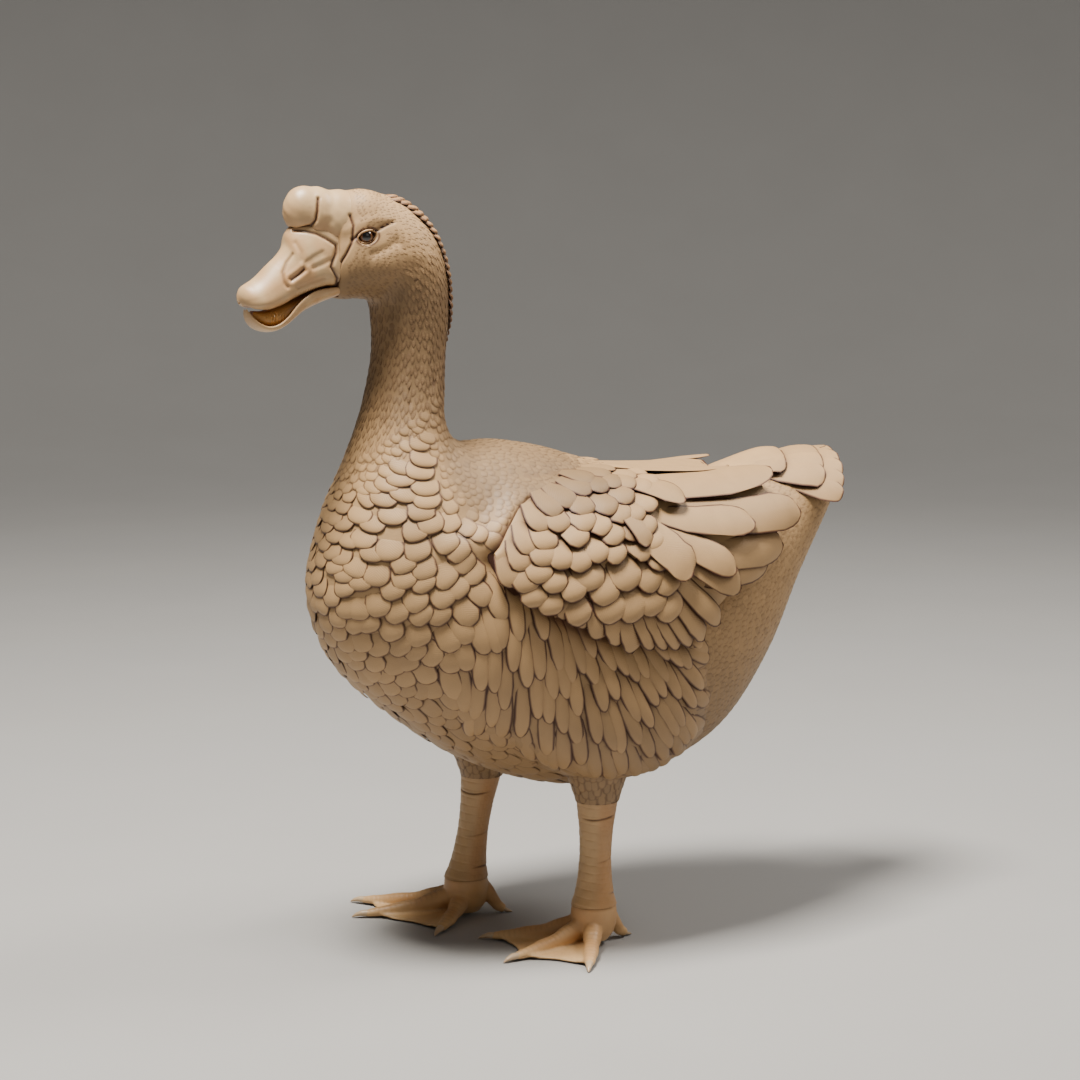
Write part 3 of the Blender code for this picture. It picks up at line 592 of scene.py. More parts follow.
def body_style(u, v, points):
    """Spacing, size, lift and direction of the torso's feathers."""
    m = np.degrees(turned(v))
    flank = ease(m, 62, 80) * (1 - ease(m, 120, 138)) * ease(u, 4.6, 5.1) * (1 - ease(u, 8.2, 9.6))
    breast = ease(u, 7.6, 9.0) * ease(m, 48, 76)
    upper = ease(u, 9.6, 11.4)
    under = ease(m, 128, 150) * (1 - ease(u, 7.0, 9.0))
    mantle = 1 - ease(m, 58, 78)
    vent = 1 - ease(u, 4.55, 4.95)
    fade = ease(u, 11.3, 12.3)
    rule = {}
    for key, plain, values in (
        ("along", 12.0, ((flank, 24), (breast, 10), (upper, 7.2), (mantle, 6), (vent, 6), (fade, 5.5))),
        ("across", 10.5, ((flank, 7.6), (breast, 12), (upper, 14), (mantle, 3.6), (vent, 3.6), (fade, 5))),
        ("lift", 1.7, ((flank, 2.1), (breast, 2.1), (upper, 1.5), (under, 0.9), (mantle, 0.25),
                       (vent, 0.25), (fade, 0.5))),
        ("dome", 1.0, ((flank, 2.1), (breast, 1.0), (upper, 0.75), (under, 0.6), (mantle, 0.12),
                       (vent, 0.12), (fade, 0.3))),
        ("turn", 0.0, ((flank, 1.05), (breast * (1 - ease(m, 120, 165)), 0.25), (mantle, 0), (vent, 0))),
        # How dark the painted shade round each feather is
        ("shade_depth", 0.9, ((flank, 1), (under, 0.5), (mantle, 0.25), (vent, 0.25), (fade, 0.4))),
    ):
        value = np.full(len(u), plain)
        for weight, aim in values:
            value = value + (aim - value) * weight
        rule[key] = value
    y, around = points[:, 1], round_hull(points)[3]
    top, bottom = leaf_edges(y)
    hidden = (y > -54) & (y < 205) & (around > top + 10) & (around < bottom - 22)
    rule["here"] = np.where(hidden, 0.0, 1.0)
    return rule


def neck_style(u, v, points):
    """Small flat tufts of the neck and head, finest on the face."""
    face = ease(u, 16, 18)
    rule = {"along": 6.4 - 2.6 * face, "across": 3.0 - 0.9 * face, "lift": 0.36 - 0.14 * face}
    rule["dome"] = 0.10 - 0.05 * face
    rule["turn"] = 0 * u
    rule["shade_depth"] = 0.30 - 0.1 * face
    left = folded(points)
    x, y, z = left.T
    eye = np.hypot((y - EYE[1]) / 10.0, (z - EYE[2]) / 8.5) < 1
    bare = y < np.interp(z, *zip(*COLLAR)) + 1.2
    lined = np.zeros(len(u), bool)
    for line, _, half in HEAD_LINES:
        lined |= near_view(left, line) < half + 0.9
    rule["here"] = np.where((eye & (x > 15)) | bare | lined, 0.0, 1.0)
    return rule


def covert_style(u, v, points):
    """Rounded coverts of a wing: an upper field, and a lower one over the roots of the secondaries."""
    top, bottom = leaf_edges(u)
    rule = {}
    rule["turn"] = np.radians(62 - 36 * ease(top + 45 - v, 0, 45) * ease(u, -30, 60))
    tip_u = u + 28 * np.cos(rule["turn"])
    tip_v = v + 28 * np.sin(rule["turn"]) / ARC
    parting = np.interp(tip_u, (13.9, 14, 33, 55, 71, 84), (120, 79, 73, 70, 74, 80))
    lower = tip_v > parting
    rule["along"], rule["across"] = np.where(lower, 14.5, 13.0), np.where(lower, 17.0, 14.0)
    inside = ease(np.minimum((v - top) * ARC * 0.7, u + 66), 0, 26)
    rule["lift"] = np.where(lower, 3.0, 4.6) * (0.45 + 0.55 * ease(v, 12, 50)) * (0.4 + 0.6 * inside)
    rule["dome"] = 1.2 + 0.8 * inside
    bound = leaf_edges(tip_u)[1]
    here = (v > top - 1) & (v < bottom - 4) & (u > -62) & (tip_v < bound + np.where(tip_u > 8, -7, 0))
    rule["here"] = np.where(here & (tip_u < np.where(lower, 88, 82 + 24 * ease(48 - v, 0, 12))), 1.0, 0.0)
    return rule


def skirted(u, v, style, name, pieces, form, seed, stretch=(2.45, 1.85), tone=0.05):
    """Coat pieces of the body from scattered places, divided by a test of their roots."""
    length, width = style["along"] * stretch[0], style["across"] * stretch[1]
    point, _, _, _ = BODY_SKIN.read(u, v)
    tint = body_tint_and_shade(point) * (1 + RNG.normal(0, tone, len(u)))[:, None]
    lifts = (-0.9, style["lift"])
    made, vane = lay(BODY_SKIN, u, v, style["turn"], length, width, form, lifts, style["dome"], seed)
    vane[..., 2] = style["shade_depth"][:, None, None]
    # Painted shade: body feathers darken along the wing's outline and in the furrow below it
    shade = 1 - np.maximum(0.97 * border_line(made, 4.6), 0.65 * border_dip(made))
    roots = body_unwrap(u, v)
    for label, test in pieces:
        pick = test(u, v)
        coat(f"{name}_{label}", made[pick], vane[pick], tint[pick], roots[pick], shade=shade[pick])


def principled(name, roughness, **sockets):
    """A material, its tree and its shader."""
    made = bpy.data.materials.new(name)
    made.use_nodes = True
    shader = made.node_tree.nodes["Principled BSDF"]
    shader.inputs["Roughness"].default_value = roughness
    for key, value in sockets.items():
        shader.inputs[key.replace("_", " ")].default_value = value
    return made, made.node_tree, shader


def node(tree, kind, inputs, output=0, **settings):
    """Output of a new node. Each input is a socket or a value."""
    made = tree.nodes.new("ShaderNode" + kind)
    for key, value in settings.items():
        setattr(made, key, value)
    for key, value in inputs.items():
        if isinstance(value, bpy.types.NodeSocket):
            tree.links.new(value, made.inputs[key])
        else:
            made.inputs[key].default_value = value
    return made.outputs[output]


def mixed(tree, kind, factor, first, second):
    """Mix of two colours."""
    return node(tree, "Mix", {0: factor, 6: first, 7: second}, 2, data_type="RGBA", blend_type=kind)


def scalar(tree, operation, *values):
    """Result of a sum over numbers or sockets."""
    return node(tree, "Math", dict(enumerate(values)), operation=operation)


def ramped(tree, value, low, high):
    """0 at low, 1 at high, straight between."""
    return node(tree, "MapRange", {"Value": value, "From Min": low, "From Max": high}, "Result")


def occlusion_shade(tree, distance, low, high):
    """0 where ambient occlusion lays painted shade, and 1 on open surface."""
    return ramped(tree, node(tree, "AmbientOcclusion", {"Distance": distance}, "AO", samples=6), low, high)


def grain(tree, scale, detail=3.0):
    """Noise over the object's own coordinates, about 0.5."""
    place = node(tree, "TexCoord", {}, "Object")
    return node(tree, "TexNoise", {"Vector": place, "Scale": scale, "Detail": detail}, "Fac")


def bumped(tree, shader, height, strength, distance):
    """Gives a shader fine relief."""
    normal = node(tree, "Bump", {"Height": height, "Strength": strength, "Distance": distance}, "Normal")
    tree.links.new(normal, shader.inputs["Normal"])


def attribute(tree, name, output):
    """Value that the points of a piece carry."""
    return node(tree, "Attribute", {}, output, attribute_name=name)


def mottled(tree, scale, detail, depth, base):
    """The tint of a piece, made uneven by noise."""
    mottle = scalar(tree, "MULTIPLY_ADD", grain(tree, scale, detail), depth, base)
    return mixed(tree, "MULTIPLY", 1.0, attribute(tree, "tint", "Color"), mottle)


PLUSH_MOTTLE, BARE_MOTTLE = (70, 4, 0.22, 0.89), (90, 5, 0.3, 0.85)


def plumage():
    """Feathers: the tint of each, streaked along its barbs, with painted shade in the gaps between them and
    along each rim.
    """
    made, tree, shader = principled("plumage", 0.56)
    split = node(tree, "SeparateXYZ", {0: attribute(tree, "vane", "Vector")}).node
    aside, along, shade_depth = split.outputs
    lean = scalar(tree, "ADD", along, scalar(tree, "MULTIPLY", scalar(tree, "ABSOLUTE", aside), -0.9))
    waver = scalar(tree, "MULTIPLY", grain(tree, 180), 6.0)
    barbs = scalar(tree, "SINE", scalar(tree, "ADD", scalar(tree, "MULTIPLY", lean, 3.1), waver))
    streak = scalar(tree, "MULTIPLY_ADD", barbs, 0.018, 1.0)
    colour = mixed(tree, "MULTIPLY", 1.0, mottled(tree, *PLUSH_MOTTLE), streak)
    # Painted shade: occlusion and each feather's rim draw its colour to the dark shade colour
    edge = ramped(tree, attribute(tree, "rim", "Fac"), 0.45, 1.9)
    open_ = scalar(tree, "MULTIPLY", occlusion_shade(tree, 0.008, 0.3, 0.94), edge)
    closed = scalar(tree, "POWER", scalar(tree, "SUBTRACT", 1.0, open_), 0.75)
    shut = scalar(tree, "MULTIPLY", closed, shade_depth)
    tree.links.new(mixed(tree, "MIX", shut, colour, (*CREVICE_SHADE, 1)), shader.inputs["Base Color"])
    relief = scalar(tree, "ADD", barbs, scalar(tree, "MULTIPLY", grain(tree, 420, 2), 2.5))
    bumped(tree, shader, relief, 0.14, 0.00025)
    return made


def hide(name, roughness, mottling, reach, high, fine, relief, **sockets):
    """Plush, horn or bare skin in the tint of its points, mottled, with painted shade in its grooves and
    hollows.
    """
    made, tree, shader = principled(name, roughness, **sockets)
    # Painted shade from ambient occlusion and from the groove shade that the points carry
    uncut = scalar(tree, "SUBTRACT", 1.0, attribute(tree, "crease_shade", "Fac"))
    open_ = scalar(tree, "MULTIPLY", occlusion_shade(tree, reach, 0.4, high), uncut)
    colour = mixed(tree, "MIX", open_, (*CREVICE_SHADE, 1), mottled(tree, *mottling))
    tree.links.new(colour, shader.inputs["Base Color"])
    bumped(tree, shader, grain(tree, *fine), relief, 0.0004)
    return made


def bare(name, roughness, fine, reach):
    """Horn or bare skin with a thin gloss."""
    return hide(name, roughness, BARE_MOTTLE, reach, 0.82, (fine, 4), 0.22, Coat_Weight=0.06,
                Coat_Roughness=0.3)


def grid_faces(n, m, round_, caps):
    """Faces of a grid, its second direction round if asked, with flat ends."""
    at = np.arange(n * m).reshape(n, m)
    if round_:
        at = np.concatenate([at, at[:, :1]], 1)
    quads = np.stack([at[:-1, :-1], at[:-1, 1:], at[1:, 1:], at[1:, :-1]], -1).reshape(-1, 4)
    if not caps:
        return [quads]
    return [quads, at[:1, :m][:, ::-1], at[-1:, :m]]


# Line between the bill and the feathers, and the line behind it as z, y
BOUNDARY = (
    (4.0, -197.0, 612.0), (8.9, -187.5, 611.2), (12.6, -179.7, 609.1), (16.8, -172.2, 604.8),
    (19.9, -166.5, 600.5), (20.8, -166.2, 595.5), (21.4, -170.0, 587.0), (22.0, -171.6, 582.8),
    (21.6, -168.1, 577.0), (20.7, -165.5, 573.3), (17.7, -165.8, 568.1), (17.7, -166.5, 559.5),
)
COLLAR = (
    (560, -163), (577, -166), (585, -164.5), (593, -160), (601, -155.7), (607, -154.2), (615, -152.3),
    (629, -154), (645, -152),
)
# Lines cut into the head, left side, with their depth and half width
HEAD_LINES = (
    (((18.2, -153.0, 623.5), (19.8, -152.5, 619.8), (22.6, -152.3, 615.4), (25.0, -154.2, 606.9),
      (25.7, -155.7, 601.2), (24.8, -160.2, 592.7), (22.7, -164.5, 585.5), (22.0, -166.2, 579.8)),
     1.5, 1.15),
    (((25.3, -154.7, 604.8), (26.1, -151.9, 606.6), (28.3, -149.7, 608.4)), 1.6, 1.3),
    (((28.2, -136.5, 611.0), (27.7, -131.2, 613.5), (27.0, -126.2, 615.9), (25.8, -118.4, 618.6)),
     1.9, 1.45),
    (BOUNDARY[1:], 1.6, 1.4),
)
SOFT_LINES = (
    (((30, -138.6, 592.5), (31, -131.8, 595.3), (31, -125.4, 598), (30, -118, 601.5)), 1.1, 3.2),
    (((31, -117, 605), (32, -111.3, 596.4), (33, -109.4, 585), (32, -111.4, 576), (30, -118.4, 571.9)),
     0.9, 3.8),
)
BROW = ((25, -160, 612), (27, -148, 618), (27, -138, 620), (26, -126, 622))
CROWN, CHEEK = (-137.0, 13.0, 4.8), (29.0, -127.0, 580.0)
LOBE = ((0, -156, 618), (20.5, 25, 25.2), 0.0)  # rear lobe of the knob: centre, radii, turn


def head_form(points, at):
    """Face of the bird on the body loft: lids' sockets, brow, slits, cheeks; and the painted shade in its
    cut lines and round the sockets.
    """
    near = folded(points)
    face = ease(at, 16.2, 17.2)
    move = np.zeros(at.shape)
    paint = np.zeros(at.shape)
    # Painted shade in each cut line
    for line, depth, half in HEAD_LINES:
        mark = np.exp(-(near_view(near, line) / half) ** 2)
        move -= depth * mark
        paint = np.maximum(paint, mark ** 1.5)
    for line, depth, half in SOFT_LINES:
        move -= depth * np.exp(-(near_view(near, line) / half) ** 2)
    move += 1.5 * np.exp(-(near_line(near, BROW) / 4.2) ** 2)
    place, width, height = CROWN
    move += height * np.exp(-((points[..., 1] - place) / width) ** 2) * ease(points[..., 2], 612, 636)
    move += 1.6 * np.exp(-np.linalg.norm((near - CHEEK) / (12, 17, 13), axis=-1) ** 2)
    lean = near[..., 2] - EYE[2] - 0.16 * (near[..., 1] - EYE[1])
    oval = np.hypot((near[..., 1] - EYE[1]) / 8.2, lean / 6.2) + 9 * (near[..., 0] < 12)
    move -= 4.5 * (1 - ease(oval, 0.78, 1.1))
    # Painted shade: a dark ring just outside each lid's socket
    paint = np.maximum(paint, 0.95 * np.exp(-((oval - 1.17) / 0.13) ** 2))
    return move * face, paint * face


def neck_form(at, angle):
    """Soft furrows that run down the neck, and short slits in them darkened with painted shade."""
    here = ease(at, 11.4, 13.0) * (1 - ease(at, 16.2, 17.4))
    turn = angle * 28 / TURN
    furrow = noise(at * 0.9, turn + 0.5 * np.sin(at), 21, 28)
    fine = noise(at * 2.1, turn * 2, 22, 56)
    slit = ease(noise(at * 3.3 + 7, turn * 3, 23, 84), 0.72, 0.86)
    return here * (0.55 * furrow + 0.22 * fine - 0.5 * slit), here * 0.55 * slit


def skin(body):
    """One closed skin for the body, neck and head."""
    us, vs, points = body
    at, angle = np.meshgrid(us, vs, indexing="ij")
    first = Surface(us, vs, points, -1, True)
    move, paint = head_form(points, at)
    furrow, slit = neck_form(at, angle)
    points = points + first.normals * (move + furrow)[..., None]
    # The second value is the painted shade of the face's cut lines and the neck's slits
    return Surface(us, vs, points, -1, True), np.maximum(paint, slit)


# Sleeve from inside the body down to the cuff: height, half width, half depth
SLEEVE = ((205, 40, 46), (168, 31, 37), (143, 23, 26), (CUFF, 19, 20))


def sleeve_rings(side, forward):
    """Rings of a leg's feathered sleeve."""
    heights = np.linspace(0, 3, 40)
    row = rows(SLEEVE, heights)
    turn = np.linspace(0, TURN, 65)
    x = side * LEG_X + (row[:, 1:2] - 1.6) * np.cos(turn)
    y = 51 - forward + (row[:, 2:3] - 1.6) * np.sin(turn)
    z = np.broadcast_to(row[:, :1], x.shape)
    return heights, turn, np.stack([x, y, z], -1)


def bearing(azimuth, elevation):
    """Direction from the bird, by degrees round from its front and degrees up."""
    a, e = math.radians(azimuth), math.radians(elevation)
    return Vector((math.sin(a) * math.cos(e), -math.cos(a) * math.cos(e), math.sin(e)))


def looking(name, data, target, way, distance):
    """Camera or lamp that looks at a target from a direction."""
    made = placed(name, data)
    made.location = target + way * distance
    made.rotation_euler = way.to_track_quat("Z", "Y").to_euler()
    return made


def camera():
    """Camera at the photo's place, round on the bird's left and a little above."""
    data = bpy.data.cameras.new("camera")
    data.lens, data.sensor_width = 88.8, 36.0
    data.clip_end = 50
    bpy.context.scene.camera = looking("camera", data, AIM, bearing(ROUND_BY, UP_BY), AWAY)


def light(name, azimuth, elevation, distance, size, power, colour):
    """Square lamp that looks at the bird's middle."""
    data = bpy.data.lights.new(name, "AREA")
    data.size, data.energy, data.color = size, power, colour
    looking(name, data, MIDDLE, bearing(azimuth, elevation), distance)


def studio():
    """Plain pale floor that sweeps up all round, soft lamps and an even pale world."""
    flat, wide, high = 2.6, 3.4, 3.6
    profile = [(flat - 0.02, 0.0)] + [(flat + wide * t, high * t ** 3) for t in np.linspace(0, 1, 40)]
    turn = circle(96)
    verts = [(r * math.cos(a), r * math.sin(a), z - 0.0005) for r, z in profile for a in turn]
    faces = grid_faces(len(profile), 96, True, False)[0].tolist() + [list(range(96))]
    mesh = bpy.data.meshes.new("floor")
    mesh.from_pydata(verts, [], faces)
    mesh.polygons.foreach_set("use_smooth", [True] * (len(faces) - 1) + [False])
    made, tree, shader = principled("floor", 0.8)
    tone = ramped(tree, grain(tree, 5, 2), 0.0, 1.0)
    colour = mixed(tree, "MIX", tone, (0.36, 0.352, 0.34, 1), (0.385, 0.377, 0.365, 1))
    tree.links.new(colour, shader.inputs["Base Color"])
    mesh.materials.append(made)
    placed("floor", mesh)
    world = bpy.data.worlds.new("studio")
    world.use_nodes = True
    sky = world.node_tree.nodes["Background"].inputs
    sky["Color"].default_value, sky["Strength"].default_value = (0.80, 0.80, 0.80, 1), 0.15
    bpy.context.scene.world = world
    for lamp in LAMPS:
        light(*lamp)


camera()
studio()
PLUMAGE = plumage()
PLUSH = hide("plush", 0.62, PLUSH_MOTTLE, 0.005, 0.84, (520, 3), 0.3)

BODY_GRID = body_surface()
BODY_SKIN, BODY_GROOVE_SHADE = skin(BODY_GRID)


def skin_piece():
    """Closed skin of the body, neck and head."""
    points = BODY_SKIN.points[:, :-1]
    at, angle = np.meshgrid(BODY_SKIN.us, BODY_SKIN.vs[:-1], indexing="ij")
    uv = body_unwrap(at, angle).reshape(-1, 2)
    dressed("skin", points, body_tint_and_shade(points), BODY_GROOVE_SHADE[:, :-1], PLUSH, "feather",
            "torso", "neck_lower", "neck_upper", "head", uv=uv)


skin_piece()
u, v, style = scatter(BODY_SKIN, (0.3, 12.4, 0, TURN), body_style, 110000, 5)
skirted(u, v, style, "coat", (
    ("breast", lambda u, v: u >= 7.8),
    ("left", lambda u, v: (u < 7.8) & (np.remainder(v, TURN) < math.pi)),
    ("right", lambda u, v: (u < 7.8) & (np.remainder(v, TURN) >= math.pi)),
), ROUND, 31)
u, v, style = scatter(BODY_SKIN, (11.9, 19.8, 0, TURN), neck_style, 60000, 6)
TUFT_PARTS = (("neck", lambda u, v: u < 15.6), ("head", lambda u, v: u >= 15.6))
skirted(u, v, style, "tufts", TUFT_PARTS, TUFT, 32, (2.0, 1.5), 0.03)

HULL_US, HULL_VS = np.arange(-110, 301, 5.0), np.arange(-20, 126, 2.5)
grid_y, grid_a = np.meshgrid(HULL_US, HULL_VS, indexing="ij")
WING = Surface(HULL_US, HULL_VS, hull_points(grid_y, grid_a), 1)
WING = Surface(HULL_US, HULL_VS, WING.points - WING.normals * sunk(grid_y, grid_a)[..., None], 1)


def wing_core(side, mirror):
    """Leaf under the wing's feathers."""
    ys = np.linspace(LEAF[0][0], LEAF[-1][0], 60)
    edges = rows(LEAF, np.interp(ys, np.array(LEAF, float)[:, 0], np.arange(len(LEAF))))
    share = np.linspace(0, 1, 28)
    drop = 1.2 + 2.6 * np.abs(2 * share - 1) ** 3
    rings = []
    for y, (_, top, bottom) in zip(ys, edges):
        angles = top + (bottom - top) * share
        outer, up, _, _ = WING.read(np.full(28, y), angles)
        inner, down, _, _ = WING.read(np.full(28, y), angles[::-1])
        rings.append(np.concatenate([outer - up * drop[:, None], inner - down * 14.5]))
    rings = np.array(rings)
    uv = np.stack([(rings[..., 1] + 110) / 420, (rings[..., 2] - 150) / 300], -1).reshape(-1, 2)
    dressed("wing_core_" + side, rings, body_tint_and_shade(rings), 0, PLUSH, "feather", "wing_" + side,
            mirror=mirror, uv=uv)


# Long feathers of a wing, lowest first: root and tip as y and degrees on the hull, width, lift of the tip
QUILLS = {
    "secondaries": (
        (116, 80, 200, 96, 26, 0.8), (110, 68, 220, 94, 30, 2.0), (-14, 74, -8, 92, 24, 1.3),
        (0, 76, 8, 95, 24, 1.4), (13, 78, 23, 98, 24, 1.5), (27, 80, 39, 100, 24, 1.6),
        (40, 82, 54, 103, 22, 1.8), (51, 84, 69, 104, 19, 2.0), (60, 84, 84, 105, 18, 2.3),
        (68, 84, 98, 106, 18, 2.6), (76, 82, 112, 107, 18, 2.9), (84, 78, 126, 108, 19, 3.3),
        (90, 74, 140, 105, 21, 3.8), (94, 64, 161, 94, 29, 4.4),
    ),
    "tertials": (
        (92, 46, 244, 78, 36, 4.2), (84, 55, 155, 83, 28, 6.0), (86, 50, 182, 66, 30, 6.6),
        (68, 9, 206, 11, 50, 3.4), (76, 33, 229, 36, 46, 6.4),
    ),
    "scapulars": ((60, 50, 107, 77, 36, 8.0), (54, 40, 69, 66, 22, 7.2), (64, 30, 122, 46, 30, 7.0)),
}
QUILL_ROOT, QUILL_DOME, TILT = -3.0, 1.1, -1.9  # depth of the roots, and form of the vanes


def wing(side, mirror, seed):
    """Core, long feathers and coverts of one wing."""
    wing_core(side, mirror)
    rng = np.random.default_rng(seed)
    for number, (label, quills) in enumerate(QUILLS.items()):
        table = np.array(quills, float)
        count = len(table)
        root, tip, width, lift = table[:, 0:2], table[:, 2:4], table[:, 4], table[:, 5]
        tip = tip + rng.normal(0, 1, (count, 2)) * (1.2, 0.5)
        turn, length = aimed(WING, root, tip)
        high = lift * (0.35 + 0.65 * ease(tip[:, 1], 8, 58))
        lifts, dome = (np.full(count, QUILL_ROOT), high), np.full(count, QUILL_DOME)
        made, vane = lay(WING, *root.T, turn, length, width, FLIGHT, lifts, dome, seed + number, TILT)
        tint = body_tint_and_shade(made[:, 0, 0]) * (1 + rng.normal(0, 0.04, count))[:, None]
        coat(f"wing_{side}_{label}", made, vane, tint, wing_unwrap(*root.T), mirror)
    u, v, style = scatter(WING, (-62, 110, 8, 98), covert_style, 9000, seed)
    point, _, _, _ = WING.read(u, v)
    tint = body_tint_and_shade(point) * (1 + rng.normal(0, 0.05, len(u)))[:, None]
    made, vane = lay(WING, u, v, style["turn"], style["along"] * 2.35, style["across"] * 1.75, ROUND,
                     (-2.4, style["lift"]), style["dome"], seed + 50, -0.5)
    coat(f"wing_{side}_coverts", made, vane, tint, wing_unwrap(u, v), mirror)


wing("left", False, 71)
wing("right", True, 171)

HORN_SKIN = bare("horn", 0.42, 260, 0.003)
LEG_SKIN = bare("leg_skin", 0.5, 420, 0.003)
CLAW_HORN = bare("claw", 0.35, 300, 0.002)
MOUTH_SKIN = bare("mouth", 0.3, 300, 0.0006)


def plates(a, b, row, plate):
    """Height from 0 at the edges to 1 in the middle of plates laid like bricks."""
    i = np.floor(a / row)
    x, y = a / row - i - 0.5, np.remainder(b / plate + 0.5 * np.remainder(i, 2), 1) - 0.5
    return np.clip(1 - np.abs(2 * x) ** 5, 0, 1) * np.clip(1 - np.abs(2 * y) ** 5, 0, 1)


# Shank from the cuff to the ankle: half width and half depth by share of its length
SHANK_HALVES = ((18, 18.5), (16.5, 17), (14.5, 15), (13.2, 14), (14.8, 15.6), (17.2, 18), (19.2, 20))
SHANK_SHARES = (0.0, 0.14, 0.3, 0.55, 0.8, 0.93, 1.0)
SHANK_FOLDS = ((113, 0.8, -0.6), (99, 0.4, 2.4), (75, 0.3, 0.4), (45, 0.8, 1.2))  # height, depth, direction


def shank(name, side, top_y, ankle_y):
    """Bare shank with large plates in front, small ones behind and a few folds."""
    t = np.linspace(0, 1, 170)
    half = rows(SHANK_HALVES, np.interp(t, SHANK_SHARES, np.arange(len(SHANK_SHARES))))
    angle = circle(96)
    high = CUFF + 5 - (CUFF + 6 - ANKLE) * t
    front = ease(-np.sin(angle), 0.1, 0.6)[None]
    z, turn = np.broadcast_arrays(high[:, None], angle[None])
    around = turn * 14.5
    big = plates(z + 0.9 * np.cos(turn * 2), around - 4, 7.2, 11.4)
    small = plates(z + 2.0 * noise(z / 9, around / 9, 41, 10), around, 4.4, 5.7)
    lift = 0.4 * front * big + 0.3 * (1 - front) * small - 0.4
    # Painted shade in the folds, as dark as they are deep
    paint = np.zeros(z.shape)
    for place, depth, middle in SHANK_FOLDS:
        fold = np.exp(-((z - place - 1.2 * np.sin(turn * 2 + place)) / 0.8) ** 2)
        fold = fold * ease(np.cos(turn - side * 0.3 - middle), 0.3, 0.9)
        lift = lift - depth * fold
        paint = np.maximum(paint, depth * fold)
    x = side * LEG_X + (half[:, :1] + lift) * np.cos(turn)
    y = top_y + (ankle_y - top_y) * t[:, None] + (half[:, 1:] + lift) * np.sin(turn)
    points = np.stack([x, y, z], -1)
    shade = (0.5 + 0.5 * noise(z / 22, around / 20, 42, 5))[..., None]
    # The whole shank is made darker by 0.84, a painted shade under the body; the front is paler
    tint = (LEG + (LEG_PALE - LEG) * (shade * 0.5 + 0.5 * front[..., None])) * 0.84
    dressed(name, points, tint, paint, LEG_SKIN, "leg_skin", name)


def tube(path, halves, sides):
    """Points of a tube along a path, as rings of an upright oval (half width, half height)."""
    way = unit(np.gradient(path, axis=0))
    across = unit(np.cross(way, (0, 0, 1)))
    up = np.cross(across, way)
    turn = circle(sides)
    halves = np.asarray(halves, float)
    wide, high = (halves[:, :1] * np.cos(turn))[..., None], (halves[:, 1:] * np.sin(turn))[..., None]
    return path[:, None] + across[:, None] * wide + up[:, None] * high


def melted(shells, size, rounds):
    """Points, normals and faces of capped tubes, melted into one body by remeshing."""
    work = bmesh.new()
    for points in shells:
        verts = [work.verts.new(p) for p in points.reshape(-1, 3).tolist()]
        for group in grid_faces(*points.shape[:2], True, True):
            for face in group:
                work.faces.new([verts[i] for i in face])
    bmesh.ops.recalc_face_normals(work, faces=work.faces)
    mesh = bpy.data.meshes.new("work")
    work.to_mesh(mesh)
    work.free()
    made = placed("work", mesh)
    remesh = made.modifiers.new("melt", "REMESH")
    remesh.mode, remesh.voxel_size = "VOXEL", size
    soften = made.modifiers.new("soften", "SMOOTH")
    soften.factor, soften.iterations = 0.5, rounds
    found = bpy.data.meshes.new_from_object(made.evaluated_get(bpy.context.evaluated_depsgraph_get()))
    points = np.empty(len(found.vertices) * 3, np.float32)
    found.vertices.foreach_get("co", points)
    normals = np.empty(len(found.vertices) * 3, np.float32)
    found.vertices.foreach_get("normal", normals)
    corners = np.empty(len(found.loops), np.int32)
    found.loops.foreach_get("vertex_index", corners)
    sizes = np.array([p.loop_total for p in found.polygons])
    starts = np.concatenate([[0], np.cumsum(sizes)[:-1]])
    groups = [corners[starts[sizes == k][:, None] + np.arange(k)] for k in np.unique(sizes)]
    bpy.data.objects.remove(made)
    return points.reshape(-1, 3).astype(float), normals.reshape(-1, 3).astype(float), groups


def ball(centre, radii, detail=40):
    """Shell of an ellipsoid."""
    t, a = np.meshgrid(np.linspace(0.02, math.pi - 0.02, detail), circle(2 * detail), indexing="ij")
    points = np.stack([np.sin(t) * np.cos(a), np.sin(t) * np.sin(a), np.cos(t)], -1)
    return points * radii + np.array(centre, float)


# Toes by heading in degrees and length, and by share of the length their height and half width
TOES = {"left": ((-34, 88), (9, 84), (58, 72)), "right": ((42, 62), (-21, 90), (-47, 100))}
TOE_STATIONS = (0, 0.22, 0.45, 0.7, 0.9, 1)
TOE_HEIGHTS = (1, 0.70, 0.43, 0.28, 0.19, 0.15)
TOE_WIDTHS = (1.0, 0.84, 0.70, 0.62, 0.50, 0.32)
TOE_HALF = 11
# Heel from the sole up: height, half width, half depth
HEEL = (
    (3, 10, 12), (10, 16, 17), (18, 18.5, 19.5), (26, 19.3, 20), (33, 18.8, 19.6), (36, 17.6, 18.4),
    (41, 16, 17),
)
# Hind toe: way back, height, half width, half height
HIND_TOE = (
    (8, 30, 6, 8), (14, 26, 6, 7.4), (19, 20, 5.8, 6.8), (24, 12.5, 5.4, 5.8), (28.5, 6.5, 5, 5),
    (34, 3.1, 4.2, 4),
)


def toe_way(heading):
    """Level direction of a toe, by degrees round from the front."""
    return np.array((math.sin(math.radians(heading)), -math.cos(math.radians(heading)), 0))


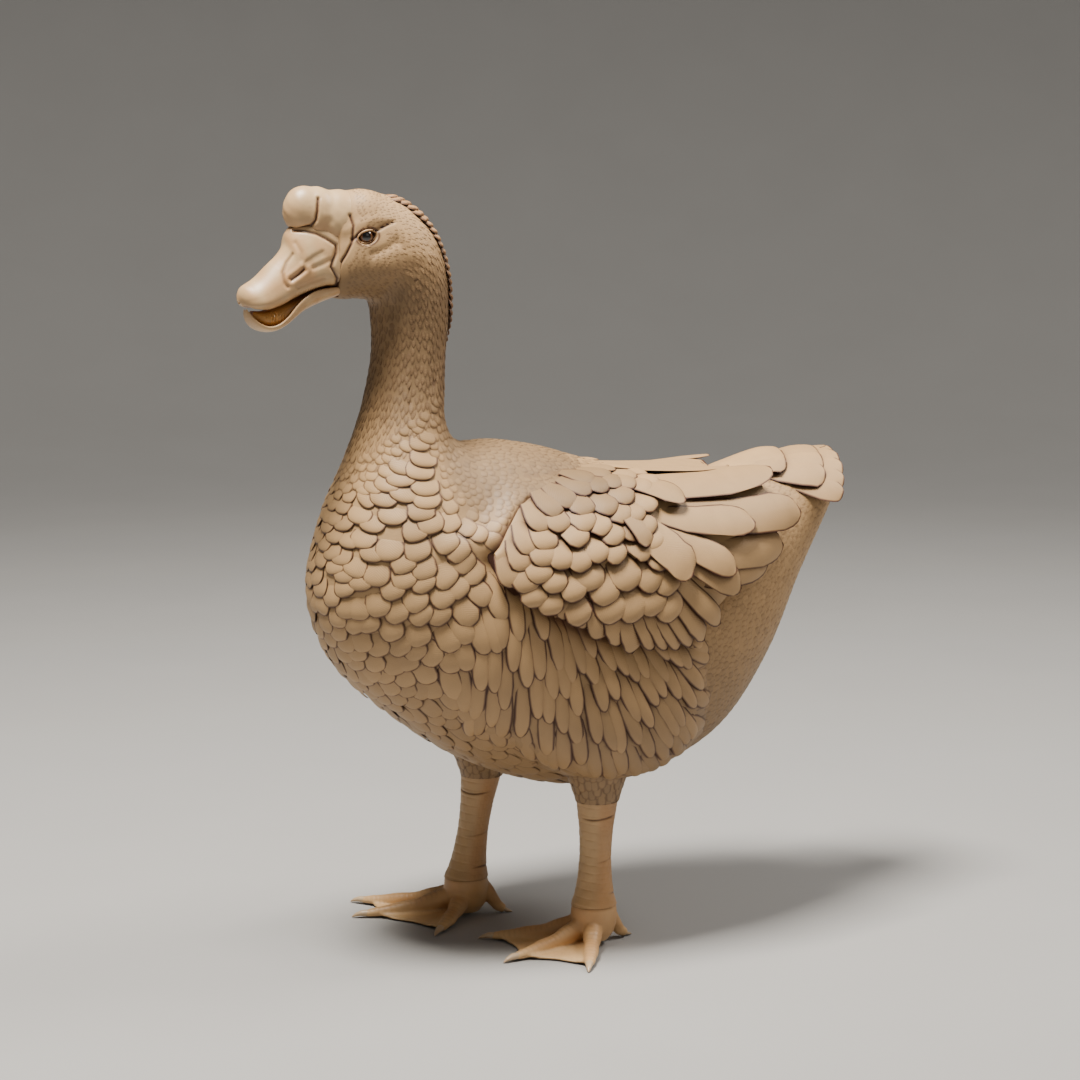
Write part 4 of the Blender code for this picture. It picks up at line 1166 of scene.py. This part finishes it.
def foot(name, side, ankle_y, toes):
    """Webbed foot with knuckled toes, scutes, folded webs and a hind toe."""
    origin = np.array((side * LEG_X, ankle_y, 0.0))
    lift = ANKLE - 14
    turn = circle(48)
    rings = [np.stack([wide * np.cos(turn), deep * np.sin(turn), np.full(48, high)], -1)
             for high, wide, deep in HEEL]
    shells = [origin + np.array(rings)]
    paths, ends = [], []
    for heading, length in toes:
        way = toe_way(heading)
        share = np.linspace(0, 1, 40)
        high = np.interp(share, TOE_STATIONS, [lift * part for part in TOE_HEIGHTS])
        wide = TOE_HALF * np.interp(share, TOE_STATIONS, TOE_WIDTHS)
        knuckle = 1 + 0.06 * np.cos(TURN * (share * 3.2 - 0.15)) * ease(share, 0.2, 0.35)
        path = origin + way * (length * share)[:, None] + np.array((0, 0, 1.0)) * high[:, None]
        thick = np.minimum(wide * knuckle * (1 - 0.25 * share), high + 1.5)
        shells.append(tube(path, np.stack([wide * knuckle * 0.92, thick], -1), 24))
        paths.append(path)
        ends.append((path[-1], way, 1.0))
    for a, b in ((0, 1), (1, 2)):
        s, t = np.meshgrid(np.linspace(0.02, 0.985, 30), np.linspace(0, 1, 25), indexing="ij")
        reach = 1 - 0.13 * (4 * t * (1 - t)) ** 0.7 * ease(s, 0.35, 0.985)
        first, last = (np.stack([np.interp(s * reach, share, paths[toe][:, k]) for k in range(3)], -1)
                       for toe in (a, b))
        sheet = first + (last - first) * t[..., None]
        sag = 4 * t * (1 - t)
        fold = np.sin(t * math.pi * 5) * 0.5 * ease(s, 0.2, 0.6)
        level = sheet[..., 2] * (1 - sag * 0.75) + 1.2 + fold * sag
        upper, under = sheet.copy(), sheet.copy()
        upper[..., 2], under[..., 2] = np.maximum(level, 3.0), np.maximum(level - 2.6, 0.2)
        shells.append(np.concatenate([upper, under[:, ::-1]], 1))
    back = -ends[1][1]
    hind = np.array([origin + back * away + (0, 0, height) for away, height, _, _ in HIND_TOE])
    shells.append(tube(hind, [row[2:] for row in HIND_TOE], 20))
    ends.append((hind[-1], unit(hind[-1] - hind[-2]), 0.75))
    points, normals, groups = melted(shells, 1.15, 3)
    up = ease(normals[:, 2], 0.1, 0.6)
    cut, paint = np.zeros(len(points)), np.zeros(len(points))
    for path, (heading, length) in zip(paths, toes):
        way = toe_way(heading)
        gone = points - origin
        along = gone @ way
        aside = np.linalg.norm(gone[:, :2] - along[:, None] * way[:2], axis=-1)
        here = (1 - ease(aside, 4.5, 8.0)) * ease(along, 18, 28) * up
        ring = np.abs(np.remainder(along / 4.6 + 0.03 * aside ** 1.2, 1) - 0.5) * 2
        mark = np.exp(-((1 - ring) / 0.24) ** 2)
        cut += here * (0.34 * mark - 0.1)
        # Painted shade in the grooves between the toes' scutes
        paint = np.maximum(paint, here * mark * 0.16)
    net = plates(points[:, 0] + points[:, 2] + 1.2 * noise(points[:, 1] / 5, points[:, 0] / 5, 51),
                 points[:, 1], 3.4, 3.9)
    cut += 0.22 * (1 - net) * up
    points = points - normals * cut[:, None]
    points[:, 2] = np.clip(points[:, 2], 0.0, ANKLE + 6)
    web = (1 - ease(points[:, 2], 4, 12))[:, None]
    shade = (0.5 + 0.5 * noise(points[:, 0] / 13, points[:, 1] / 13, 52))[:, None]
    # Painted light: the webs and the foot's low parts are made lighter
    tint = (LEG + (LEG_PALE - LEG) * np.clip(0.25 + 0.5 * web + 0.4 * shade, 0, 1)) * (1.0 + 0.25 * web)
    dressed(name, points, tint, paint, LEG_SKIN, "leg_skin", name, groups=groups)
    for label, (end, way, size) in zip(("inner", "middle", "outer", "hind"), ends):
        share = np.linspace(0, 1, 14)
        path = end + way * (-1.5 + (13.8 * size) * share)[:, None]
        drop = np.interp(share, (0, 0.35, 0.7, 1), (0, 0, 1.2, 3.2))
        half = size * np.interp(share, (0, 0.3, 0.7, 0.93, 1), (3.4, 3.1, 2.0, 0.9, 0.35))
        path[:, 2] = np.maximum(path[:, 2] + 0.4 - drop, half * 0.85)
        rings = tube(path, np.stack([half, half * 0.85], -1), 20)
        tint = CLAW + (UMBER * 1.3 - CLAW) * 0.35 * share[:, None, None] ** 2
        replaced = f"claw_{name[5:]}_{label}"
        dressed(replaced + "_horn", rings, tint, 0, CLAW_HORN, "claw", replaced)


for leg, (side, forward, top_y, ankle_y) in STEPS.items():
    shank("shank_" + leg, side, top_y, ankle_y)
    foot("foot_" + leg, side, ankle_y, TOES[leg])

# Upper bill by stations: upper edge y, z; lower edge y, z; half width
UPPER_BILL = (
    (-148, 634, -142, 566, 17), (-170, 631, -158, 565, 20), (-190, 622, -172, 566, 21.5),
    (-201.5, 611, -183, 564, 20.5), (-204.5, 600, -193, 561, 19), (-210, 592.5, -202, 557, 17.8),
    (-219, 584.5, -211, 552.5, 17.2), (-228.5, 575.5, -221, 549.5, 17.2), (-235.5, 570, -228.5, 549, 16.4),
    (-240.5, 566.5, -234.5, 549.5, 13.6), (-243.2, 562, -238.5, 551, 9.3), (-244.2, 557, -241.8, 553, 3),
)
# Lines of the bill with their depth, half width and how dark their painted shade is
BILL_LINES = (
    (BOUNDARY, 1.7, 1.3, 1.0),
    (((11.2, -201.1, 593.0), (12.0, -206.9, 586.7), (14.3, -210.9, 579.1), (17.3, -210.5, 570.6),
      (18.0, -208.2, 567.5)), 1.0, 1.4, 0.5),
    (((18.2, -193.3, 585.3), (19.0, -185.8, 590.4), (19.8, -178.3, 594.3)), 1.0, 1.9, 0.12),
    (((20.2, -186.4, 582.3), (21.2, -179.0, 585.1), (21.3, -172.0, 588.5)), 1.0, 1.8, 0.12),
    (((7.4, -196.2, 601.4), (14.2, -194.5, 594.4), (16.7, -194.9, 588.8)), 0.8, 2.1, 0.08),
    (((19.5, -200.0, 566.5), (20.5, -188.0, 571.0), (21.0, -177.0, 574.0)), 0.8, 1.7, 0.1),
)
NOSTRIL = ((18, -205, 573.7), (18.5, -199.5, 577.2), (18.8, -194, 581))
TOOTH, BARB = 2.1, 2.6  # spacing of the ridges along the bill's edges, and of the tongue's barbs


def upper_bill():
    """Upper bill with its nostrils, creases, swollen rim and the ridges inside it."""
    n, m = 190, 200
    row = rows(UPPER_BILL, np.linspace(0, 11, n))
    angle = np.linspace(0, TURN, m + 1)
    c, s = np.cos(angle)[None], np.sin(angle)[None]
    square = np.where(c > 0, 2.0, 3.2)
    up, across = np.sign(c) * np.abs(c) ** (2 / square), np.sign(s) * np.abs(s) ** (2 / square)
    middle, rise = (row[:, 0:2] + row[:, 2:4]) / 2, (row[:, 0:2] - row[:, 2:4]) / 2
    yz = middle[:, None] + rise[:, None] * up[..., None]
    x = row[:, 4:5] * across * (1 - 0.22 * up)
    points = np.stack([x, yz[..., 0], yz[..., 1]], -1)
    form = Surface(np.linspace(0, 11, n), angle, points, 1, True)
    near = folded(points)
    lift, paint = np.zeros(points.shape[:2]), np.zeros(points.shape[:2])
    # Painted shade in the bill's cut lines
    for line, depth, half, dark in BILL_LINES:
        mark = np.exp(-(near_view(near, line) / half) ** 2)
        lift -= depth * mark
        paint = np.maximum(paint, dark * mark ** 1.5)
    slot = near_view(near, NOSTRIL)
    lift += 0.45 * np.exp(-((slot - 3.8) / 1.9) ** 2) - 2.0 * np.exp(-(slot / 1.7) ** 2)
    # Painted shade in the nostrils
    paint = np.maximum(paint, 0.95 * np.exp(-(slot / 1.15) ** 2))
    lift += 1.2 * np.exp(-(np.linalg.norm(near - (0, -240, 567), axis=-1) / 9) ** 2)
    low = ease(-c, 0.55, 0.9) * np.ones((n, 1))
    teeth = 0.5 * (1 + np.cos(points[..., 1] / TOOTH * TURN)) * ease(np.abs(x), 8, 13) * low
    ahead, roof = -points[..., 1], 1.8 * low * (1 - ease(np.abs(x), 6, 13))
    lift += 0.8 * teeth * ease(ahead, 172, 180) * (1 - ease(ahead, 222, 230)) - roof
    points = (points + form.normals * lift[..., None])[:, :-1]
    fine = noise(points[..., 1] / 7, points[..., 2] / 7 + points[..., 0] / 9, 61)[..., None]
    warm = np.clip(0.25 + 0.35 * fine + 0.5 * np.exp(-(slot[:, :-1, None] / 9) ** 2), 0, 1)
    tint = HORN + (HORN_WARM - HORN) * warm
    # The inside takes a darker copy of the gum colour, a painted shade under the bill's roof
    inner = ease(-c, 0.80, 0.93)[:, :-1, None] * np.ones((n, 1, 1))
    tint = tint + (GUM * 0.7 - tint) * inner
    dressed("bill_upper_horn", points, tint, paint[:, :-1], HORN_SKIN, "horn", "bill_upper")


# Lower bill by stations: y, rim height, half width, depth
LOWER_BILL = (
    (-150, 566, 14, 5), (-166, 565.5, 18, 9), (-182, 563.5, 18.5, 13), (-192, 558.5, 18.5, 13),
    (-200, 551.5, 18.3, 12), (-207, 543.5, 18, 8.5), (-215, 537.3, 17.5, 5.6), (-223, 535.4, 16.6, 4.4),
    (-229.5, 537.6, 14.6, 4.4), (-234, 541.8, 11.4, 4.6), (-236.8, 546.4, 7.2, 4.2), (-238, 549.4, 2.6, 3),
)


def lower_bill():
    """Lower bill: a scoop with a rounded rim, ridged inside its edges."""
    n, m = 90, 40
    row = rows(LOWER_BILL, np.linspace(0, 11, n))
    y, rim, half, depth = (row[:, k:k + 1] for k in range(4))
    t = np.linspace(0, math.pi, m)[None]
    outer = np.stack([-half * np.cos(t), y + 0 * t, rim - depth * np.sin(t) ** 0.8], -1)
    edge = np.exp(-((np.minimum(t, math.pi - t) - 0.35) / 0.22) ** 2)
    teeth = 0.35 * (1 + np.cos(y / TOOTH * TURN)) * edge
    thick = np.minimum(2.3, half * 0.4)
    floor = rim - np.maximum(depth - 2.6, 0.8) * np.sin(t) ** 0.9
    inner = np.stack([-(half - thick - teeth) * np.cos(t), y + 0 * t, floor], -1)
    lip = np.linspace(0, math.pi, 7)[None, 1:-1]
    left = np.stack([half - thick / 2 + thick / 2 * np.cos(lip), y + 0 * lip, rim + 0.9 * np.sin(lip)], -1)
    right = left[:, ::-1] * (-1, 1, 1)
    rings = np.concatenate([outer, left, inner[:, ::-1], right], 1)
    tint = np.broadcast_to(HORN, rings.shape).copy()
    warm = np.clip(0.3 + 0.35 * noise(rings[..., 1] / 7, rings[..., 2] / 7, 62), 0, 1)[..., None]
    tint += (HORN_WARM - HORN) * warm
    tint[:, m + 6:-6] = GUM
    dressed("bill_lower_horn", rings, tint, 0, HORN_SKIN, "horn", "bill_lower")


# Tongue from its root: y, z, half width, half height
TONGUE_ROWS = (
    (-160, 560, 8, 2.5), (-182, 558, 11, 4), (-200, 550, 13, 6.5), (-212, 543, 13.5, 8),
    (-223, 541.5, 12, 7), (-233.5, 545.5, 5, 3.2),
)


def tongue():
    """Tongue lying in the lower bill, with a groove down its middle and barbs at its edges."""
    n, m = 50, 40
    row = rows(TONGUE_ROWS, np.linspace(0, 5, n))
    path = np.column_stack([np.zeros(n), row[:, :2]])
    rings = tube(path, row[:, 2:], m)
    groove = np.exp(-(rings[..., 0] / 1.3) ** 2) * (rings[..., 2] > path[:, None, 2])
    rings[..., 2] -= 1.1 * groove
    rings[..., 0] *= 1 + 0.05 * np.cos(rings[..., 1] / BARB * TURN)
    # Painted shade: a darker copy of the gum colour deep in the mouth, and in the middle groove
    deep = ease(path[:, 1], -222, -190)[:, None, None]
    tint = TONGUE * (1 - deep) + GUM * 0.6 * deep
    dressed("tongue_flesh", rings, tint, 0.3 * groove, MOUTH_SKIN, "mouth", "tongue")


KNOB_LINE = (
    (9.6, -176.8, 637.0), (14.7, -180.0, 627.0), (13.2, -180.6, 619.8), (13.1, -185.3, 615.6),
    (9.6, -192.3, 613.2), (6.1, -195.0, 612.0), (3.0, -199.0, 613.0),
)


def knob():
    """Knob of two lobes, parted by a groove that runs down to the bill, with painted shade in it and its
    other cut lines.
    """
    rear = ball((0, -157, 618.6), (21.3, 26.5, 26.2))
    shells = [ball((0, -186, 627.6), (16, 17.5, 20.4)), ball((0, -175.5, 624.2), (19, 19, 23.1)), rear]
    points, normals, groups = melted(shells, 0.9, 40)
    near = folded(points)
    # Painted shade in the knob's grooves
    mark = np.exp(-(near_view(near, KNOB_LINE) / 1.35) ** 2)
    for line in (BOUNDARY, HEAD_LINES[0][0]):
        mark = np.maximum(mark, 0.75 * np.exp(-(near_view(near, line) / 1.25) ** 2))
    rough = 0.25 * noise(points[:, 1] / 5, points[:, 2] / 5 + points[:, 0] / 6, 63)
    points = points + normals * (rough - 2.1 * mark)[:, None]
    low = ease(-points[:, 2], -618, -606)
    warm = np.clip(0.2 + 0.4 * noise(points[:, 1] / 11, points[:, 2] / 11, 64) + 0.6 * low, 0, 1)[:, None]
    tint = HORN + (HORN_WARM - HORN) * warm
    dressed("knob_horn", points, tint, mark ** 1.5, HORN_SKIN, "horn", "knob", groups=groups)


upper_bill()
lower_bill()
tongue()
knob()


def eyes():
    """Glossy eyes with a dark pupil in a brown iris, and the lids round them."""
    made, tree, shader = principled("eye", 0.06, Coat_Weight=1.0, Coat_Roughness=0.02)
    tree.links.new(attribute(tree, "tint", "Color"), shader.inputs["Base Color"])
    for label, side in (("left", 1), ("right", -1)):
        t, a = np.meshgrid(np.linspace(0.01, math.pi - 0.01, 70), circle(64), indexing="ij")
        look = unit(np.array((0.97, -0.2, 0.04)))
        first = unit(np.cross(look, (0, 0, 1)))
        second = np.cross(first, look)
        aside = first * np.cos(a)[..., None] + second * np.sin(a)[..., None]
        way = look * np.cos(t)[..., None] + aside * np.sin(t)[..., None]
        points = EYE + way * 6.5
        ring = np.degrees(t)
        spokes = 1 + 0.35 * noise(a * 30 / TURN, ring / 14, 71)
        iris = np.array((0.11, 0.036, 0.009)) * spokes[..., None] * (1 - 0.6 * ease(ring, 52, 62))[..., None]
        tint = iris * ease(ring, 31, 34)[..., None] + np.array((0.004, 0.003, 0.002))
        dressed("eyeball_" + label, points, tint, 0, made, "eye", "eye_" + label, mirror=side < 0)
        turn = circle(96)
        rise = np.abs(np.sin(turn)) ** 1.05 * np.sign(np.sin(turn))
        y = np.where(np.cos(turn) > 0, 8.6, 7.8) * np.cos(turn)
        z = np.where(rise > 0, 4.9, 5.2) * rise * (1 - 0.22 * np.abs(np.cos(turn)) ** 3)
        x = np.sqrt(np.maximum(7.15 ** 2 - y ** 2 - z ** 2, 3.2 ** 2))
        path = EYE + np.stack([x, y, z + 0.16 * y], -1)
        thick = 0.55 + 0.4 * ease(np.sin(turn), 0, 0.8)
        out = unit(np.stack([0 * y, y, z], -1))
        roll = circle(16)
        around = out[:, None] * np.cos(roll)[:, None] + np.array((1.0, 0, 0)) * np.sin(roll)[:, None]
        rings = path[:, None] + thick[:, None, None] * around
        loop = np.concatenate([np.arange(96 * 16).reshape(96, 16), np.arange(16)[None]])
        loop = np.concatenate([loop, loop[:, :1]], 1)
        quads = np.stack([loop[:-1, :-1], loop[:-1, 1:], loop[1:, 1:], loop[1:, :-1]], -1).reshape(-1, 4)
        tint = TAN * (0.98, 0.9, 0.85)
        dressed("lids_" + label, rings, tint, 0, LEG_SKIN, "feather", groups=[quads], mirror=side < 0)


eyes()


def sleeve_style(u, v, point):
    """Small flat tufts of the sleeves."""
    full = np.ones(len(u))
    return {"along": 8 - 2 * u / 3, "across": 4.6 * full, "lift": 0.5 * full, "dome": 0.25 * full,
            "turn": 0 * full, "here": full}


def sleeves():
    """Feathered sleeves of the legs, down to the cuffs."""
    for leg, (side, forward, _, _) in STEPS.items():
        us, vs, points = sleeve_rings(side, forward)
        inner = points[:, :-1]
        uv = np.stack(np.meshgrid(us / 3, vs[:-1] / TURN, indexing="ij"), -1).reshape(-1, 2)
        dressed("sleeve_" + leg, inner, body_tint_and_shade(inner), 0, PLUSH, "feather", "thigh_" + leg, uv=uv)
        surface = Surface(us, vs, points, 1, True)
        u, v, rule = scatter(surface, (0, 2.8, 0, TURN), sleeve_style, 5000, 81)
        point, _, _, _ = surface.read(u, v)
        length = np.minimum(rule["along"] * 2.3, (2.97 - u) * 22 + 6)
        made, vane = lay(surface, u, v, rule["turn"], length, rule["across"] * 1.8, LONG,
                         (-0.6, rule["lift"]), rule["dome"], 82, shade_depth=0.5)
        tint = body_tint_and_shade(point) * (1 + RNG.normal(0, 0.05, len(u)))[:, None]
        coat("sleeve_coat_" + leg, made, vane, tint, np.stack([u / 3, v / TURN], -1))


sleeves()


# Tiers of the tail, lowest first: feathers, spread in degrees, start and reach of the longest, width,
# height of root and tip, dome
TIERS = (
    (10, 34, 44, 117, 31, -5, 0.9, 1.0), (6, 28, 18, 98, 38, -5, 3.4, 1.3),
    (5, 24, -8, 62, 38, -4, 5.4, 1.3),
)


def tail():
    """Fan of tail feathers with two tiers of coverts over their roots."""
    us, vs = np.arange(150, 341, 5.0), np.arange(-90, 91, 5.0)
    y, x = np.meshgrid(us, vs, indexing="ij")
    fan = Surface(us, vs, tail_points(y, x), 1)
    rng = np.random.default_rng(91)
    for number, (count, spread, start, reach, width, low, high, dome) in enumerate(TIERS):
        turn = np.radians(np.linspace(-spread, spread, count))
        root = np.stack([TAIL_ROOT + np.cos(turn) * start, np.sin(turn) * start], -1)
        length = (reach - start) * (1 + rng.normal(0, 0.015, count))
        middle = 1 - np.abs(turn) / math.radians(spread)
        wide = np.full(count, width) * (0.9 + 0.15 * middle)
        lifts = (low + 1.6 * middle, high + 2.2 * middle)
        made, vane = lay(fan, *root.T, turn, length, wide, FLIGHT, lifts, np.full(count, dome), 92 + number,
                         0.9 * np.sign(turn + 1e-9))
        point, _, _, _ = fan.read(root[:, 0], root[:, 1])
        tint = body_tint_and_shade(point) * (1 + rng.normal(0, 0.05, count))[:, None]
        order = np.argsort(np.abs(turn))
        piece = coat(f"tail_tier{number}", made[order], vane[order], tint[order],
                     (root[order] - (150, -90)) / (200, 180))
        if number == 0:
            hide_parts("tail")


tail()


def nape_ends(at):
    """0 along the nape's stripe, rising towards its ends."""
    return np.maximum(0.75 * (1 - ease(at, 12.5, 14.6)), 0.3 * ease(at, 17.2, 18.3))


def nape():
    """Stripe of bead-like tufts down the nape."""
    u, v = [], []
    for column, offset in ((-0.36, 0.5), (-0.18, 0.0), (0.0, 0.5), (0.18, 0.0), (0.36, 0.5)):
        at = 18.05
        while at > 12.7:
            u.append(at - offset * 0.22)
            v.append(column * (1 - nape_ends(at)) + 0.02 * math.sin(7 * at + column))
            _, _, along, _ = BODY_SKIN.read(np.array([at]), np.array([0.0]))
            at -= 6.4 / float(np.linalg.norm(along[0]))
    u, v = np.array(u), np.array(v)
    point, _, _, _ = BODY_SKIN.read(u, v)
    count = len(u)
    tint = body_tint_and_shade(point) * (0.93, 0.82, 0.72) * (1 + RNG.normal(0, 0.05, count))[:, None]
    size = 1 - 0.6 * nape_ends(u)
    lifts = (-0.8, 0.3 + 2.0 * (1 - nape_ends(u) / 0.75))
    made, vane = lay(BODY_SKIN, u, v, np.zeros(count), 11.5 * size, 6.4 * size, ROUND, lifts,
                     1.7 * size ** 2, 95, shade_depth=0.75)
    coat("tufts_nape", made, vane, tint, body_unwrap(u, v))


nape()
